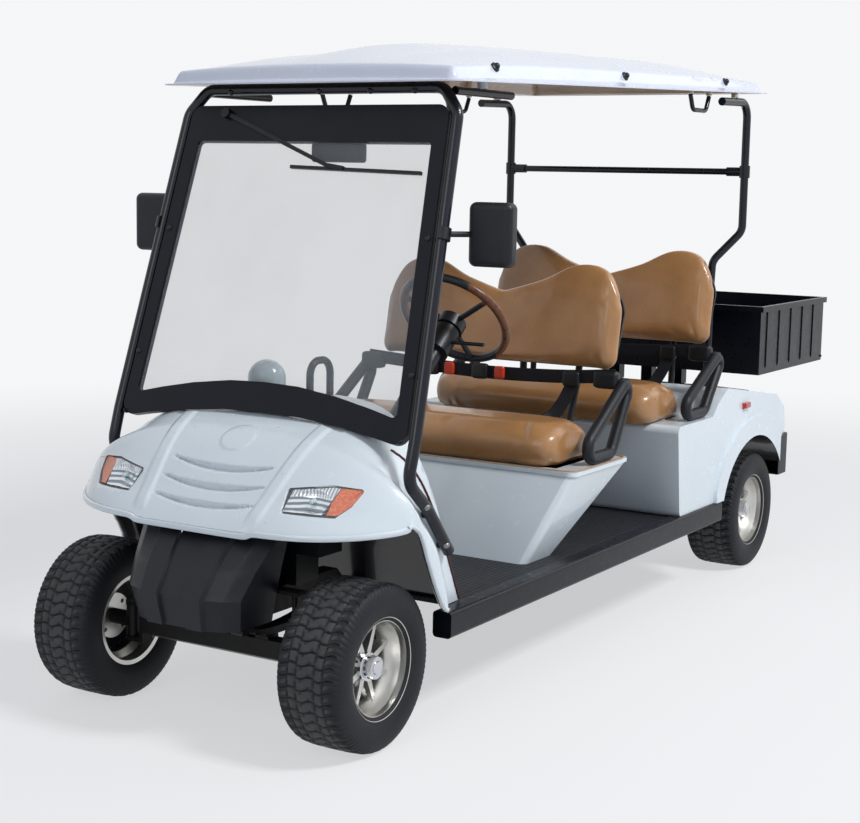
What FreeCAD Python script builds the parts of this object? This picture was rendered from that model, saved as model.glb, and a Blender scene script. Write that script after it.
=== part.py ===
import FreeCAD, Part
import math
import os

# Four-seat electric golf cart with a flat roof and a rear cargo box.
# Lengths are in millimetres. While the pieces are made, x = 0 is the front axle (+x forward),
# y = 0 the middle (+y the cart's left side) and z = 0 the ground. Every piece is then moved
# forward by one distance, so that the origin is under the middle of the whole cart.

V = FreeCAD.Vector
across = V(0, 1, 0)
upward = V(0, 0, 1)
forward = V(1, 0, 0)

# Driving sizes
wheelbase = 2650.0
front_reach = 245.0
rear_overhang = 750.0
body_half_width = 560.0
roof_half_width = 522.0
floor_top = 320.0
wheel_radius = 229.5
front_half_track = 430.0
rear_half_track = 440.0
shell_wall = 4.0
seat_gap = 0.3
pin_clearance = 0.3
hoop_tube_radius = 17.0
overrun = 20.0
small_overrun = 1.0
rear_axle_x = -wheelbase
rear_reach = wheelbase + rear_overhang
frame_shift = (rear_reach - front_reach) / 2


# Small helpers

def box(x0, x1, y0, y1, z0, z1):
    x0, x1 = min(x0, x1), max(x0, x1)
    y0, y1 = min(y0, y1), max(y0, y1)
    z0, z1 = min(z0, z1), max(z0, z1)
    return Part.makeBox(x1 - x0, y1 - y0, z1 - z0, V(x0, y0, z0))


def rod(start, end, radius):
    step = end - start
    return Part.makeCylinder(radius, step.Length, start, step)


def corner_edges(points, radius, closed=False):
    """Straight runs joined by tangent arcs of at most the given radius."""
    count = len(points)
    corners = range(count) if closed else range(1, count - 1)
    cuts = {}
    for i in corners:
        here = points[i]
        back = points[i - 1] - here
        ahead = points[(i + 1) % count] - here
        turn = math.pi - back.getAngle(ahead)
        if turn < 0.01 or radius <= 0:
            continue
        reach_share = 0.48
        reach = min(radius * math.tan(turn / 2), reach_share * min(back.Length, ahead.Length))
        bend = reach / math.tan(turn / 2)
        back.normalize()
        ahead.normalize()
        middle = back + ahead
        middle.normalize()
        centre = here + middle * (bend / math.cos(turn / 2))
        cuts[i] = (here + back * reach, centre - middle * bend, here + ahead * reach)
    edges = []
    spans = range(count) if closed else range(count - 1)
    for i in spans:
        j = (i + 1) % count
        start = cuts[i][2] if i in cuts else points[i]
        end = cuts[j][0] if j in cuts else points[j]
        if (end - start).Length > 1e-6:
            edges.append(Part.LineSegment(start, end).toShape())
        if j in cuts:
            edges.append(Part.Arc(cuts[j][0], cuts[j][1], cuts[j][2]).toShape())
    return edges


def outline(points, radius=0.0):
    return Part.Wire(corner_edges(points, radius, closed=True))


def prism(points, depth, radius=0.0):
    """Closed outline, its corners rounded, pushed along a vector."""
    return Part.Face(outline(points, radius)).extrude(depth)


def tube(points, radius, bend, closed=False):
    """Round bar along straight runs and tangent arcs."""
    path = Part.Wire(corner_edges(points, bend, closed))
    first = path.Edges[0]
    start = first.valueAt(first.FirstParameter)
    heading = first.tangentAt(first.FirstParameter)
    ring = Part.Wire([Part.Circle(start, heading, radius).toShape()])
    return path.makePipeShell([ring], True, False)


def turned(profile, centre):
    """Closed profile of (radius, distance along the axle) turned about the axle through centre."""
    points = [V(centre.x, centre.y + along, centre.z + radius) for radius, along in profile]
    return Part.Face(outline(points)).revolve(centre, across, 360)


def mirrored(shape):
    return shape.mirror(V(0, 0, 0), across)


def both_sides(shape):
    return [shape, mirrored(shape)]


def fused(shapes):
    return shapes[0].multiFuse(shapes[1:]).removeSplitter()


def softened(shape, radius, keep=lambda edge: True):
    edges = [edge for edge in shape.Edges if keep(edge)]
    return shape.makeFillet(radius, edges)


def blended(values, share):
    """Value at a share of the way along an evenly spaced table, on a smooth curve."""
    place = min(max(share, 0.0), 1.0) * (len(values) - 1)
    i = min(int(place), len(values) - 2)
    t = place - i
    before = values[i - 1] if i > 0 else 2 * values[0] - values[1]
    after = values[i + 2] if i + 2 < len(values) else 2 * values[-1] - values[-2]
    rise0 = (values[i + 1] - before) / 2
    rise1 = (after - values[i]) / 2
    gap = values[i + 1] - values[i]
    return values[i] + t * (rise0 + t * (3 * gap - 2 * rise0 - rise1 + t * (rise0 + rise1 - 2 * gap)))


def smooth_surface(grid):
    """Smooth cubic surface led by a grid of points, through its four borders' ends."""
    degree = 3
    mults = []
    knots = []
    for count in (len(grid), len(grid[0])):
        spans = count - degree
        knots.append([i / spans for i in range(spans + 1)])
        mults.append([degree + 1] + [1] * (spans - 1) + [degree + 1])
    surface = Part.BSplineSurface()
    surface.buildFromPolesMultsKnots(grid, mults[0], mults[1], knots[0], knots[1], False, False, degree, degree)
    return surface


def skin(place, us, vs, wall):
    """Solid of even wall under the surface place(u, v), its inner face along the surface normals."""
    step = 0.002
    outer = []
    inner = []
    for u in us:
        outer_row = []
        inner_row = []
        for v in vs:
            point = place(u, v)
            u0 = max(u - step, us[0])
            u1 = min(u + step, us[-1])
            v0 = max(v - step, vs[0])
            v1 = min(v + step, vs[-1])
            normal = (place(u, v1) - place(u, v0)).cross(place(u1, v) - place(u0, v))
            normal.normalize()
            outer_row.append(point)
            inner_row.append(point - normal * wall)
        outer.append(outer_row)
        inner.append(inner_row)
    surfaces = [smooth_surface(grid) for grid in (outer, inner)]
    faces = [surface.toShape() for surface in surfaces]
    for end in (0.0, 1.0):
        faces.append(Part.makeRuledSurface(surfaces[0].uIso(end).toShape(), surfaces[1].uIso(end).toShape()))
        faces.append(Part.makeRuledSurface(surfaces[0].vIso(end).toShape(), surfaces[1].vIso(end).toShape()))
    shell = Part.makeCompound(faces)
    shell.sewShape()
    solid = Part.Solid(shell.Shells[0])
    if solid.Volume < 0:
        solid.reverse()
    return solid


def evenly(count, low=0.0, high=1.0):
    return [low + (high - low) * i / (count - 1) for i in range(count)]


os.makedirs("parts", exist_ok=True)
saved = []


def save(name, shape):
    pieces = shape if isinstance(shape, list) else [shape]
    solids = [solid for piece in pieces for solid in piece.Solids]
    whole = solids[0] if len(solids) == 1 else Part.makeCompound(solids)
    whole = whole.copy()
    whole.translate(V(frame_shift, 0, 0))
    whole.exportStep("parts/" + name + ".step")
    saved.append(name)
    print(name, len(solids), "solids, volume", round(whole.Volume / 1e3), "cm3, valid", whole.isValid())


# Front cowl: a moulded shell whose cross-sections are rounded boxes

cowl_nose_reach = 165.0
cowl_length = 615.0
lip_height = 580.0
cowl_top = 880.0
panel_bottom = 326.0
crown_back_shares = [0.0, 0.049, 0.109, 0.171, 0.252, 0.35, 0.447, 0.545, 0.675, 0.837, 1.0]
crown_rise_shares = [0.0, 0.117, 0.233, 0.367, 0.533, 0.70, 0.817, 0.90, 0.963, 0.99, 1.0]
edge_back_shares = [0.366, 0.371, 0.378, 0.39, 0.42, 0.463, 0.52, 0.593, 0.662, 0.756, 1.0]
edge_rise_shares = [0.5, 0.505, 0.505, 0.5, 0.487, 0.448, 0.323, 0.17, 0.049, 0.0, 0.0]
plan_power = 4.5
panel_recess = 62.0
crease_width = 36.0
crease_back_shares = [0.74, 0.72, 0.683, 0.642, 0.585, 0.496, 0.415, 0.377, 0.353, 0.382, 0.431]
lip_squareness = 3.0
rear_squareness = 5.0
trim_bottom_back = 426.0
trim_top_back = 147.0
dash_middle_back = 430.0
dash_edge_shares = [0.0, 0.03, 0.12, 0.27, 0.48, 0.74, 1.0]


def smooth(share):
    share = min(max(share, 0.0), 1.0)
    return share * share * (3 - 2 * share)


def side_inset(x, z):
    """How far the side panel behind the fender's crease is set in."""
    rise_share = (z - panel_bottom) / (cowl_top - panel_bottom)
    crease_x = cowl_nose_reach - cowl_length * blended(crease_back_shares, rise_share)
    return panel_recess * smooth((crease_x - x) / crease_width)


def cowl_point(u, v):
    """v runs from -1 at the right edge over the crown at 0 to 1 at the left edge."""
    squareness = lip_squareness + (rear_squareness - lip_squareness) * u
    turn = v * math.pi / 2
    side = abs(math.sin(turn))
    rise = max(math.cos(turn), 0.0)
    size = (side ** squareness + rise ** squareness) ** (1 / squareness)
    side = math.copysign(side / size, v)
    rise = rise / size
    crown_x = cowl_nose_reach - cowl_length * blended(crown_back_shares, u)
    crown_z = lip_height + (cowl_top - lip_height) * blended(crown_rise_shares, u)
    edge_x = cowl_nose_reach - cowl_length * blended(edge_back_shares, u)
    edge_z = panel_bottom + (cowl_top - panel_bottom) * blended(edge_rise_shares, u)
    x = crown_x + (edge_x - crown_x) * abs(side) ** plan_power
    z = edge_z + (crown_z - edge_z) * rise
    return V(x, side * (body_half_width - side_inset(x, z)), z)


def dash_edge(share):
    """Rear edge of the dash in plan: share 0 at the middle, 1 at the side."""
    return -dash_middle_back + (dash_middle_back - trim_top_back) * blended(dash_edge_shares, share)


cowl_rows = evenly(25)
cowl_columns = evenly(35, -1.0, 1.0)
edge_steps = 6


def door_cut():
    """Everything behind the slanted rear edge of the cowl sides and the dash."""
    sections = []
    half = body_half_width + overrun
    for z, at_dash in ((panel_bottom - overrun, 0.0), (cowl_top + overrun, 1.0)):
        share = (z - panel_bottom) / (cowl_top - panel_bottom)
        side_x = -trim_bottom_back + (trim_bottom_back - trim_top_back) * share
        edge = []
        for i in range(-edge_steps, edge_steps + 1):
            across_share = min(abs(i) / (edge_steps * 0.95), 1.0)
            x = side_x if not at_dash else dash_edge(across_share) + side_x + trim_top_back
            edge.append(V(x, half * i / edge_steps, z))
        curve = Part.BSplineCurve()
        curve.interpolate(edge)
        tail = -rear_reach
        corners = [edge[-1], V(tail, half, z), V(tail, -half, z), edge[0]]
        lines = [Part.LineSegment(corners[k], corners[k + 1]).toShape() for k in range(3)]
        sections.append(Part.Wire([curve.toShape()] + lines))
    return Part.makeLoft(sections, True, True)


def cowl_block(depth, lift=0.0, reach=1.0):
    """Solid under the cowl's outer surface, moved up by the seating gap, as far out as a share of its width."""
    columns = evenly(len(cowl_columns), -reach, reach)
    block = skin(cowl_point, cowl_rows, columns, depth)
    block.translate(upward * lift)
    return block


lamp_inner = 255.0
lamp_outer = 453.0
lamp_low = 633.0
lamp_high = 700.0
lamp_depth = 45.0
lamp_clearance = 0.5
lamp_corner = 8.0
lamp_outline_shares = [(0.04, 0.01), (-0.03, 0.88), (0.59, 1.12), (1.0, 1.0), (0.92, 0.39), (0.78, -0.03)]


def lamp_prism(inset):
    """Headlamp outline seen from the front, pushed back along the cart."""
    width = lamp_outer - lamp_inner
    height = lamp_high - lamp_low
    centre_y = (lamp_inner + lamp_outer) / 2
    centre_z = (lamp_low + lamp_high) / 2
    points = []
    for across_share, up_share in lamp_outline_shares:
        y = lamp_inner + width * across_share
        z = lamp_low + height * up_share
        away = V(0, y - centre_y, z - centre_z)
        away.normalize()
        points.append(V(cowl_nose_reach, y, z) - away * inset)
    return prism(points, forward * -cowl_length / 2, lamp_corner)


def make_cowl():
    shell = skin(cowl_point, cowl_rows, cowl_columns, shell_wall)
    shell = shell.cut(door_cut())
    for lamp in both_sides(lamp_prism(0.0)):
        shell = shell.cut(lamp)
    return shell


def make_headlamps():
    rows = evenly(11, 0.05, 0.5)
    columns = evenly(11, 0.2, 0.7)
    block = skin(cowl_point, rows, columns, lamp_depth)
    lamp = block.common(lamp_prism(lamp_clearance))
    return both_sides(lamp)



# Windscreen: a flat pane in a moulded frame, leaning back with the front roof hoop

screen_foot_x = -160.0
screen_foot_z = 868.0
screen_lean = 0.308
screen_angle = math.degrees(math.atan(screen_lean))
frame_thickness = 24.0
glass_thickness = 5.0
glass_top = 1607.0
glass_top_half = 411.0
glass_low_half = 457.0
glass_corner_z = 868.0
glass_arch_rise = 63.0
frame_top = 1711.0
frame_top_half = 450.0
frame_low = 795.0
frame_low_half = 500.0
frame_arch_rise = 55.0
frame_corner = 38.0
glass_corner = 14.0
arch_shares = [1.0, 0.79, 0.55, 0.26, 0.0]
arch_rise_shares = [0.0, 0.35, 0.68, 0.94, 1.0]


def on_screen(y, z, off=0.0):
    """Point of the windscreen plane at a height, off in front of it."""
    slope = math.radians(screen_angle)
    x = screen_foot_x - screen_lean * (z - screen_foot_z)
    return V(x + off * math.cos(slope), y, z + off * math.sin(slope))


def screen_outline(top_half, top, low_half, low, arch_rise, inset=0.0, off=0.0):
    points = [(-top_half + inset, top - inset), (top_half - inset, top - inset)]
    for side in (1, -1):
        pairs = list(zip(arch_shares, arch_rise_shares))
        if side < 0:
            pairs = pairs[-2::-1]
        for across_share, rise_share in pairs:
            points.append((side * (low_half - inset) * across_share, low + inset + arch_rise * rise_share))
    return [on_screen(y, z, off) for y, z in points]


def screen_slab(points, thickness, corner):
    slope = math.radians(screen_angle)
    return prism(points, V(math.cos(slope), 0, math.sin(slope)) * thickness, corner)


def make_screen_frame():
    body = screen_slab(screen_outline(frame_top_half, frame_top, frame_low_half, frame_low, frame_arch_rise,
                                      off=-frame_thickness / 2), frame_thickness, frame_corner)
    hole = screen_slab(screen_outline(glass_top_half, glass_top, glass_low_half, glass_corner_z,
                                      glass_arch_rise, off=-frame_thickness), frame_thickness * 2, glass_corner)
    return body.cut(hole).cut(cowl_block(frame_thickness * 2, seat_gap * 2))


def make_glass():
    return screen_slab(screen_outline(glass_top_half, glass_top, glass_low_half, glass_corner_z,
                                      glass_arch_rise, inset=seat_gap, off=-glass_thickness / 2),
                       glass_thickness, glass_corner)


# Front roof hoop: one bent tube from the cowl's left side over the screen to its right side

hoop_top = 1763.0
hoop_top_half = 414.0
hoop_shoulder_half = 472.0
hoop_shoulder_z = 1691.0
hoop_low_z = 820.0
hoop_spacer = 5.0
hoop_panel_half = body_half_width - panel_recess
hoop_side_half = hoop_panel_half + hoop_tube_radius + hoop_spacer
hoop_knee_z = 712.0
hoop_bolt_x = -217.0
hoop_bolt_z = 621.0
hoop_end_x = -330.0
hoop_end_z = 487.0
hoop_bend = 55.0
hoop_boss_radius = 13.0
hoop_boss_shares = [0.1, 0.84]


def hoop_points(side):
    half = side * hoop_side_half
    return [on_screen(side * hoop_top_half, hoop_top), on_screen(side * hoop_shoulder_half, hoop_shoulder_z),
            on_screen(half, hoop_low_z), on_screen(half, hoop_knee_z),
            V(hoop_bolt_x, half, hoop_bolt_z), V(hoop_end_x, half, hoop_end_z)]


def make_front_hoop():
    """Bent tube with two spacers on each leg, which stand on the cowl's side panel."""
    pieces = [tube(hoop_points(1)[::-1] + hoop_points(-1), hoop_tube_radius, hoop_bend)]
    for side in (1, -1):
        start, end = hoop_points(side)[-2:]
        for share in hoop_boss_shares:
            place = start + (end - start) * share
            inner = V(place.x, side * (hoop_panel_half + 2 * seat_gap), place.z)
            pieces.append(rod(place, inner, hoop_boss_radius))
    return fused(pieces)


# Top line of the rear body, which the rear hoop's legs stand on

shoulder_x = rear_axle_x + 333.0
shoulder_z = 749.0
tail_x = rear_axle_x - 200.0
tail_z = 672.0


def deck_top(x):
    return shoulder_z + (tail_z - shoulder_z) * (x - shoulder_x) / (tail_x - shoulder_x)


def deck_solid():
    """Everything under the rear body's sloping top, with the seating gap."""
    points = [V(x, -body_half_width, deck_top(x) + seat_gap) for x in (shoulder_x + overrun, tail_x)]
    points += [V(tail_x, -body_half_width, 0), V(shoulder_x + overrun, -body_half_width, 0)]
    return prism(points, across * 2 * body_half_width)


# Rear roof posts with their cross tube, and the rails and grab loops under the roof

rear_tube_radius = 15.0
rear_hoop_x = rear_axle_x + 160.0
rear_hoop_top = 1812.0
rear_hoop_half = 505.0
rear_hoop_bend = 60.0
rear_stub_length = 255.0
rear_stub_drop = 7.0
rear_knee_z = 1330.0
rear_elbow_x = rear_axle_x + 188.0
rear_elbow_z = 1215.0
rear_leg_half = 402.0
rear_leg_x = rear_axle_x + 198.0
rear_leg_z = 1110.0
cross_tube_z = 1554.0
cross_tube_radius = 12.0
clamp_radius = 20.0
clamp_length = 46.0
clamp_sleeve_radius = 17.0
clamp_sleeve_length = 70.0
rail_radius = 12.0
rail_half = 440.0
rail_z = 1754.0
rail_rear_x = -770.0
loop_radius = 8.0
loop_span = 170.0
loop_drop = 52.0
loop_half = 474.0
loop_below_edge = 14.0
loop_end_rise = 3.7
loop_places = [(-1190.0, -1), (rear_axle_x + 650.0, -1), (rear_axle_x + 550.0, 1)]


def rear_post_line(side):
    """From the stub under the roof back and down to the deck."""
    half = side * rear_hoop_half
    leg = side * rear_leg_half
    stub_end = V(rear_hoop_x + rear_stub_length, half, rear_hoop_top - rear_stub_drop)
    return [stub_end, V(rear_hoop_x, half, rear_hoop_top), V(rear_hoop_x, half, rear_knee_z),
            V(rear_elbow_x, leg, rear_elbow_z), V(rear_leg_x, leg, rear_leg_z),
            V(rear_leg_x, leg, deck_top(rear_leg_x) - overrun / 2)]


def make_rear_hoop():
    """Two posts bent forward under the roof, and the cross tube held by a clamp at each end."""
    half = rear_hoop_half
    pieces = [rod(V(rear_hoop_x, -half, cross_tube_z), V(rear_hoop_x, half, cross_tube_z), cross_tube_radius)]
    for side in (1, -1):
        joint = V(rear_hoop_x, side * half, cross_tube_z)
        sleeve_end = joint - across * side * clamp_sleeve_length
        pieces.append(tube(rear_post_line(side), rear_tube_radius, rear_hoop_bend))
        pieces.append(rod(joint - upward * clamp_length / 2, joint + upward * clamp_length / 2, clamp_radius))
        pieces.append(rod(joint, sleeve_end, clamp_sleeve_radius))
    return fused(pieces).cut(deck_solid())


def make_rails():
    """Short rails that run back from the top corners of the front hoop."""
    front_x = on_screen(0, rail_z).x - hoop_tube_radius - seat_gap
    rails = []
    for side in (1, -1):
        y = side * rail_half
        rails.append(rod(V(front_x, y, rail_z), V(rail_rear_x, y, rail_z), rail_radius))
    return rails


def loop_top(x):
    return roof_edge_z(x) - loop_below_edge


def make_roof_loops():
    """Grab loops that hang from the roof's pads."""
    loops = []
    for x, side in loop_places:
        y = side * loop_half
        top = loop_top(x)
        low = top - loop_drop
        reach = loop_span / 2
        line = [V(x + reach, y, top), V(x + reach - loop_drop / 2, y, low), V(x - reach + loop_drop / 2, y, low),
                V(x - reach, y, top)]
        loops.append(tube(line, loop_radius, loop_drop / 2))
    return loops


# Roof: a moulded shell with a flat rim, a step and a low crown

roof_front_x = -325.0
roof_rear_x = rear_axle_x - 40.0
roof_front_z = 1772.0
roof_rear_z = 1854.0
rim_width = 24.0
step_width = 26.0
step_rise = 36.0
crown_rise = 92.0
swell_rise = 10.0
roof_corner = 52.0
pad_radius = 15.0
loop_pad_radius = 11.0
hoop_pad_share = 0.75
rail_pad_x = -600.0


def roof_edge_z(x):
    return roof_front_z + (roof_rear_z - roof_front_z) * (x - roof_front_x) / (roof_rear_x - roof_front_x)


def roof_top(x, y):
    middle = (roof_front_x + roof_rear_x) / 2
    half_length = (roof_front_x - roof_rear_x) / 2
    dx = abs(x - middle) - (half_length - roof_corner)
    dy = abs(y) - (roof_half_width - roof_corner)
    inside = roof_corner - max(dx, dy)
    if dx > 0 or dy > 0:
        inside = roof_corner - math.hypot(max(dx, 0.0), max(dy, 0.0))
    step = step_rise * smooth((inside - rim_width) / step_width)
    along = (x - middle) / half_length
    over = y / roof_half_width
    crown = crown_rise * max(1 - abs(over) ** 2.4, 0.0) * max(1 - abs(along) ** 4, 0.0)
    swell = swell_rise * math.cos(over * 3 * math.pi) * smooth((inside - rim_width) / half_length * 3)
    return roof_edge_z(x) + step + crown + swell


def graded(low, high, margin_steps, inner_count):
    """Places from low to high, close together near both ends."""
    ends = [low + step for step in margin_steps]
    starts = [high - step for step in reversed(margin_steps)]
    return ends + evenly(inner_count + 2, ends[-1], starts[0])[1:-1] + starts


def roof_pad(x, y, low, radius):
    """Boss from the roof's shell down to what it rests on."""
    return rod(V(x, y, low + seat_gap), V(x, y, roof_top(x, y) - shell_wall / 2), radius)


def make_roof():
    rising = [rim_width + step_width * k / 5 for k in range(1, 7)]
    steps = [0.0, rim_width / 2, rim_width] + rising + [rim_width * 4]
    us = graded(roof_rear_x, roof_front_x, steps, 14)
    vs = graded(-roof_half_width, roof_half_width, steps, 13)
    shell = skin(lambda x, y: V(x, y, roof_top(x, y)), us, vs, shell_wall)
    corner_blank = prism([V(roof_front_x, roof_half_width, roof_front_z - crown_rise),
                          V(roof_rear_x, roof_half_width, roof_front_z - crown_rise),
                          V(roof_rear_x, -roof_half_width, roof_front_z - crown_rise),
                          V(roof_front_x, -roof_half_width, roof_front_z - crown_rise)],
                         upward * crown_rise * 5, roof_corner)
    shell = shell.common(corner_blank)
    pads = [shell]
    stub_x = rear_hoop_x + rear_stub_length / 2
    stub_z = rear_hoop_top - rear_stub_drop / 2
    for x, z, y in ((on_screen(0, hoop_top).x, hoop_top + hoop_tube_radius, hoop_top_half * hoop_pad_share),
                    (stub_x, stub_z + rear_tube_radius + seat_gap, rear_hoop_half),
                    (rail_pad_x, rail_z + rail_radius, rail_half)):
        for side in (1, -1):
            pads.append(roof_pad(x, side * y, z, pad_radius))
    for x, side in loop_places:
        for way in (1, -1):
            pad_x = x + way * loop_span / 2
            pads.append(roof_pad(pad_x, side * loop_half, loop_top(x) + loop_end_rise, loop_pad_radius))
    return fused(pads)


# Chassis: two side rails that kick up over both axles, with cross members and outriggers

rail_width = 50.0
rail_height = 70.0
chassis_rail_half = 140.0
chassis_low = 275.0
chassis_front_rise = 360.0
chassis_rear_rise = 430.0
chassis_line = [(165.0, chassis_front_rise), (-300.0, chassis_front_rise), (-385.0, chassis_low),
                (rear_axle_x + 375.0, chassis_low), (rear_axle_x + 230.0, chassis_rear_rise),
                (rear_axle_x - 580.0, chassis_rear_rise)]
rail_wall = 3.0
outrigger_places = [-620.0, -1020.0, rear_axle_x + 1050.0, rear_axle_x + 570.0]
cross_members = [(60.0, chassis_front_rise), (-240.0, chassis_front_rise), (-900.0, chassis_low),
                 (rear_axle_x + 1250.0, chassis_low), (rear_axle_x + 750.0, chassis_low),
                 (rear_axle_x + 250.0, chassis_rear_rise), (rear_axle_x - 150.0, chassis_rear_rise),
                 (rear_axle_x - 500.0, chassis_rear_rise)]
sill_width = 60.0
sill_inner = body_half_width - sill_width
sill_low = 250.0
sill_top = 325.7
sill_front_x = -285.0
sill_rear_x = rear_axle_x + 382.0


def side_prism(line, height, y0, y1, stretch=0.0):
    """Bar of even height along a line in side view, from y0 to y1."""
    upper = []
    lower = []
    for i, (x, z) in enumerate(line):
        shift = stretch if i == 0 else (-stretch if i == len(line) - 1 else 0.0)
        upper.append(V(x + shift, y0, z + height / 2))
        lower.append(V(x + shift, y0, z - height / 2))
    return prism(upper + lower[::-1], across * (y1 - y0))


def make_chassis():
    pieces = []
    half = rail_width / 2
    for side in (1, -1):
        centre = side * chassis_rail_half
        rail = side_prism(chassis_line, rail_height, centre - half, centre + half)
        bore = side_prism(chassis_line, rail_height - 2 * rail_wall, centre - half + rail_wall,
                          centre + half - rail_wall, overrun)
        pieces.append(rail.cut(bore))
    inner = chassis_rail_half - half
    outer = chassis_rail_half + half
    for x, z in cross_members:
        pieces.append(box(x - half, x + half, -inner, inner, z - half, z + half))
    for x in outrigger_places:
        for side in (1, -1):
            y0, y1 = sorted((side * outer, side * (sill_inner - seat_gap)))
            pieces.append(box(x - half, x + half, y0, y1, chassis_low - half, chassis_low + half))
    for data in spring_sets.values():
        for side in (1, -1):
            pieces += make_hanger(data, side)
    pieces += make_damper_shelves()
    return fused(pieces)


sill_wall = 3.0
sill_corner = 12.0


def make_sills():
    """Hollow sills, closed at the front end and open at the rear."""
    section = [V(sill_front_x, sill_inner, sill_low), V(sill_front_x, body_half_width, sill_low),
               V(sill_front_x, body_half_width, sill_top), V(sill_front_x, sill_inner, sill_top)]
    run = forward * (sill_rear_x - sill_front_x)
    body = prism(section, run, sill_corner)
    inset = [V(sill_front_x, sill_inner + sill_wall, sill_low + sill_wall),
             V(sill_front_x, body_half_width - sill_wall, sill_low + sill_wall),
             V(sill_front_x, body_half_width - sill_wall, sill_top - sill_wall),
             V(sill_front_x, sill_inner + sill_wall, sill_top - sill_wall)]
    bore = prism([point - forward * sill_wall for point in inset], run - forward * overrun, sill_corner - sill_wall)
    return both_sides(body.cut(bore))


floor_thickness = 9.5
floor_front_x = -410.0


def make_floor():
    return box(floor_front_x, sill_rear_x, -sill_inner + seat_gap, sill_inner - seat_gap,
               floor_top - floor_thickness, floor_top)


# Dash: a curved panel under the cowl's rear edge, a shelf and a slanted toe board

dash_drop = 250.0
dash_wall = 4.0
dash_set_in = 10.0
dash_top_gap = 8.0
toe_gap = 4.0
toe_wall = 4.0
dash_steps = 10
dash_side_gap = 28.0
dash_half = body_half_width - panel_recess - dash_side_gap
toe_low = floor_top + seat_gap
dome_radius = 56.0
dome_rise = 95.0
dome_x = -345.0
dome_y = -125.0
dash_loop_radius = 11.0


def trim_x(z):
    share = (z - panel_bottom) / (cowl_top - panel_bottom)
    return -trim_bottom_back + (trim_bottom_back - trim_top_back) * share


def under_skin(x, y):
    """Height of the cowl's inner face over a point."""
    low, high = 0.0, 1.0
    for _ in range(30):
        u = (low + high) / 2
        v_low, v_high = 0.0, 1.0
        for _ in range(25):
            v = (v_low + v_high) / 2
            if cowl_point(u, v).y < abs(y):
                v_low = v
            else:
                v_high = v
        if cowl_point(u, v_low).x > x:
            low = u
        else:
            high = u
    return cowl_point(low, v_low).z


def inner_skin(x, y):
    """Height of the cowl's inner face, from the outer height and its slopes."""
    step = 2.0
    here = under_skin(x, y)
    rise_x = (under_skin(x + step, y) - here) / step
    rise_y = (under_skin(x, abs(y) + step) - here) / step
    return here - shell_wall * math.sqrt(1 + rise_x ** 2 + rise_y ** 2)


def make_dashboard():
    lows = []
    tops = []
    for i in range(-dash_steps, dash_steps + 1):
        share = abs(i) / dash_steps
        y = dash_half * i / dash_steps
        x = dash_edge(share * dash_half / body_half_width) + dash_set_in
        tops.append(V(x, y, min(inner_skin(x, y), inner_skin(x + dash_wall, y)) - dash_top_gap))
        lows.append(V(x, y, cowl_top - dash_drop))
    edges = []
    for row in (tops, lows):
        curve = Part.BSplineCurve()
        curve.interpolate(row)
        edges.append(curve.toShape())
    fascia = Part.makeRuledSurface(edges[0], edges[1]).extrude(forward * dash_wall)
    toe_x = trim_x(toe_low) + toe_gap
    toe_top = lows[0].z
    toe_top_x = trim_x(toe_top) + toe_gap
    toe = prism([V(toe_x, 0, toe_low), V(toe_top_x, 0, toe_top), V(toe_top_x + toe_wall, 0, toe_top),
                 V(toe_x + toe_wall, 0, toe_low)], across * 2 * dash_half)
    toe.translate(across * -dash_half)
    centre = V(wheel_centre_x, wheel_centre_y, wheel_centre_z)
    clear = rod(centre, centre - column_axis() * -wheel_centre_x, column_radius + column_gap)
    board = fused([fascia, toe]).cut(clear)
    return max(board.Solids, key=lambda solid: solid.Volume)


# Front face of the rear bumper, which the rear body ends at

rear_bumper_front_x = rear_axle_x - 232.0

# Rear body: a hollow moulding with wheel arches, open below and under the rear seat

rear_body_inset = 15.0
rear_body_half = body_half_width - rear_body_inset
rear_seat_z = 655.0
rear_body_rear_x = rear_axle_x - 315.0
tail_low_z = 500.0
rear_profile = [(rear_axle_x + 752.0, floor_top + seat_gap), (rear_axle_x + 794.0, rear_seat_z),
                (rear_axle_x + 472.0, rear_seat_z), (rear_axle_x + 425.0, 700.0), (shoulder_x, shoulder_z),
                (tail_x, tail_z), (rear_axle_x - 295.0, 610.0), (rear_body_rear_x, tail_low_z),
                (rear_axle_x - 228.0, tail_low_z), (rear_axle_x - 218.0, 400.0),
                (rear_axle_x - 150.0, floor_top + seat_gap)]
rear_body_corner = 26.0
arch_x = rear_axle_x + 50.0
arch_z = 240.0
arch_long = 330.0
arch_high = 295.0
flare_width = 78.0
flare_out = 15.0
well_inner = 302.0
seat_hole_front_x = rear_axle_x + 765.0
seat_hole_rear_x = rear_axle_x + 530.0
seat_hole_half = 430.0
under_hole_margin = 40.0
under_hole_front_x = rear_axle_x + 725.0
under_hole_rear_x = rear_axle_x - 210.0
tail_hole_front_x = rear_axle_x - 50.0
tail_hole_rear_x = rear_axle_x - 302.0
flare_front_x = rear_axle_x + 435.0
flare_rear_x = rear_body_rear_x + 60.0
well_rear_x = rear_axle_x - 265.0


def ellipse_prism(grow, y0, y1):
    ring = Part.Ellipse(V(arch_x, y0, arch_z), arch_long + grow, arch_high + grow)
    ring.Axis = -across
    ring.XAxis = forward
    face = Part.Face(Part.Wire([ring.toShape()]))
    return face.extrude(across * (y1 - y0))


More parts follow.
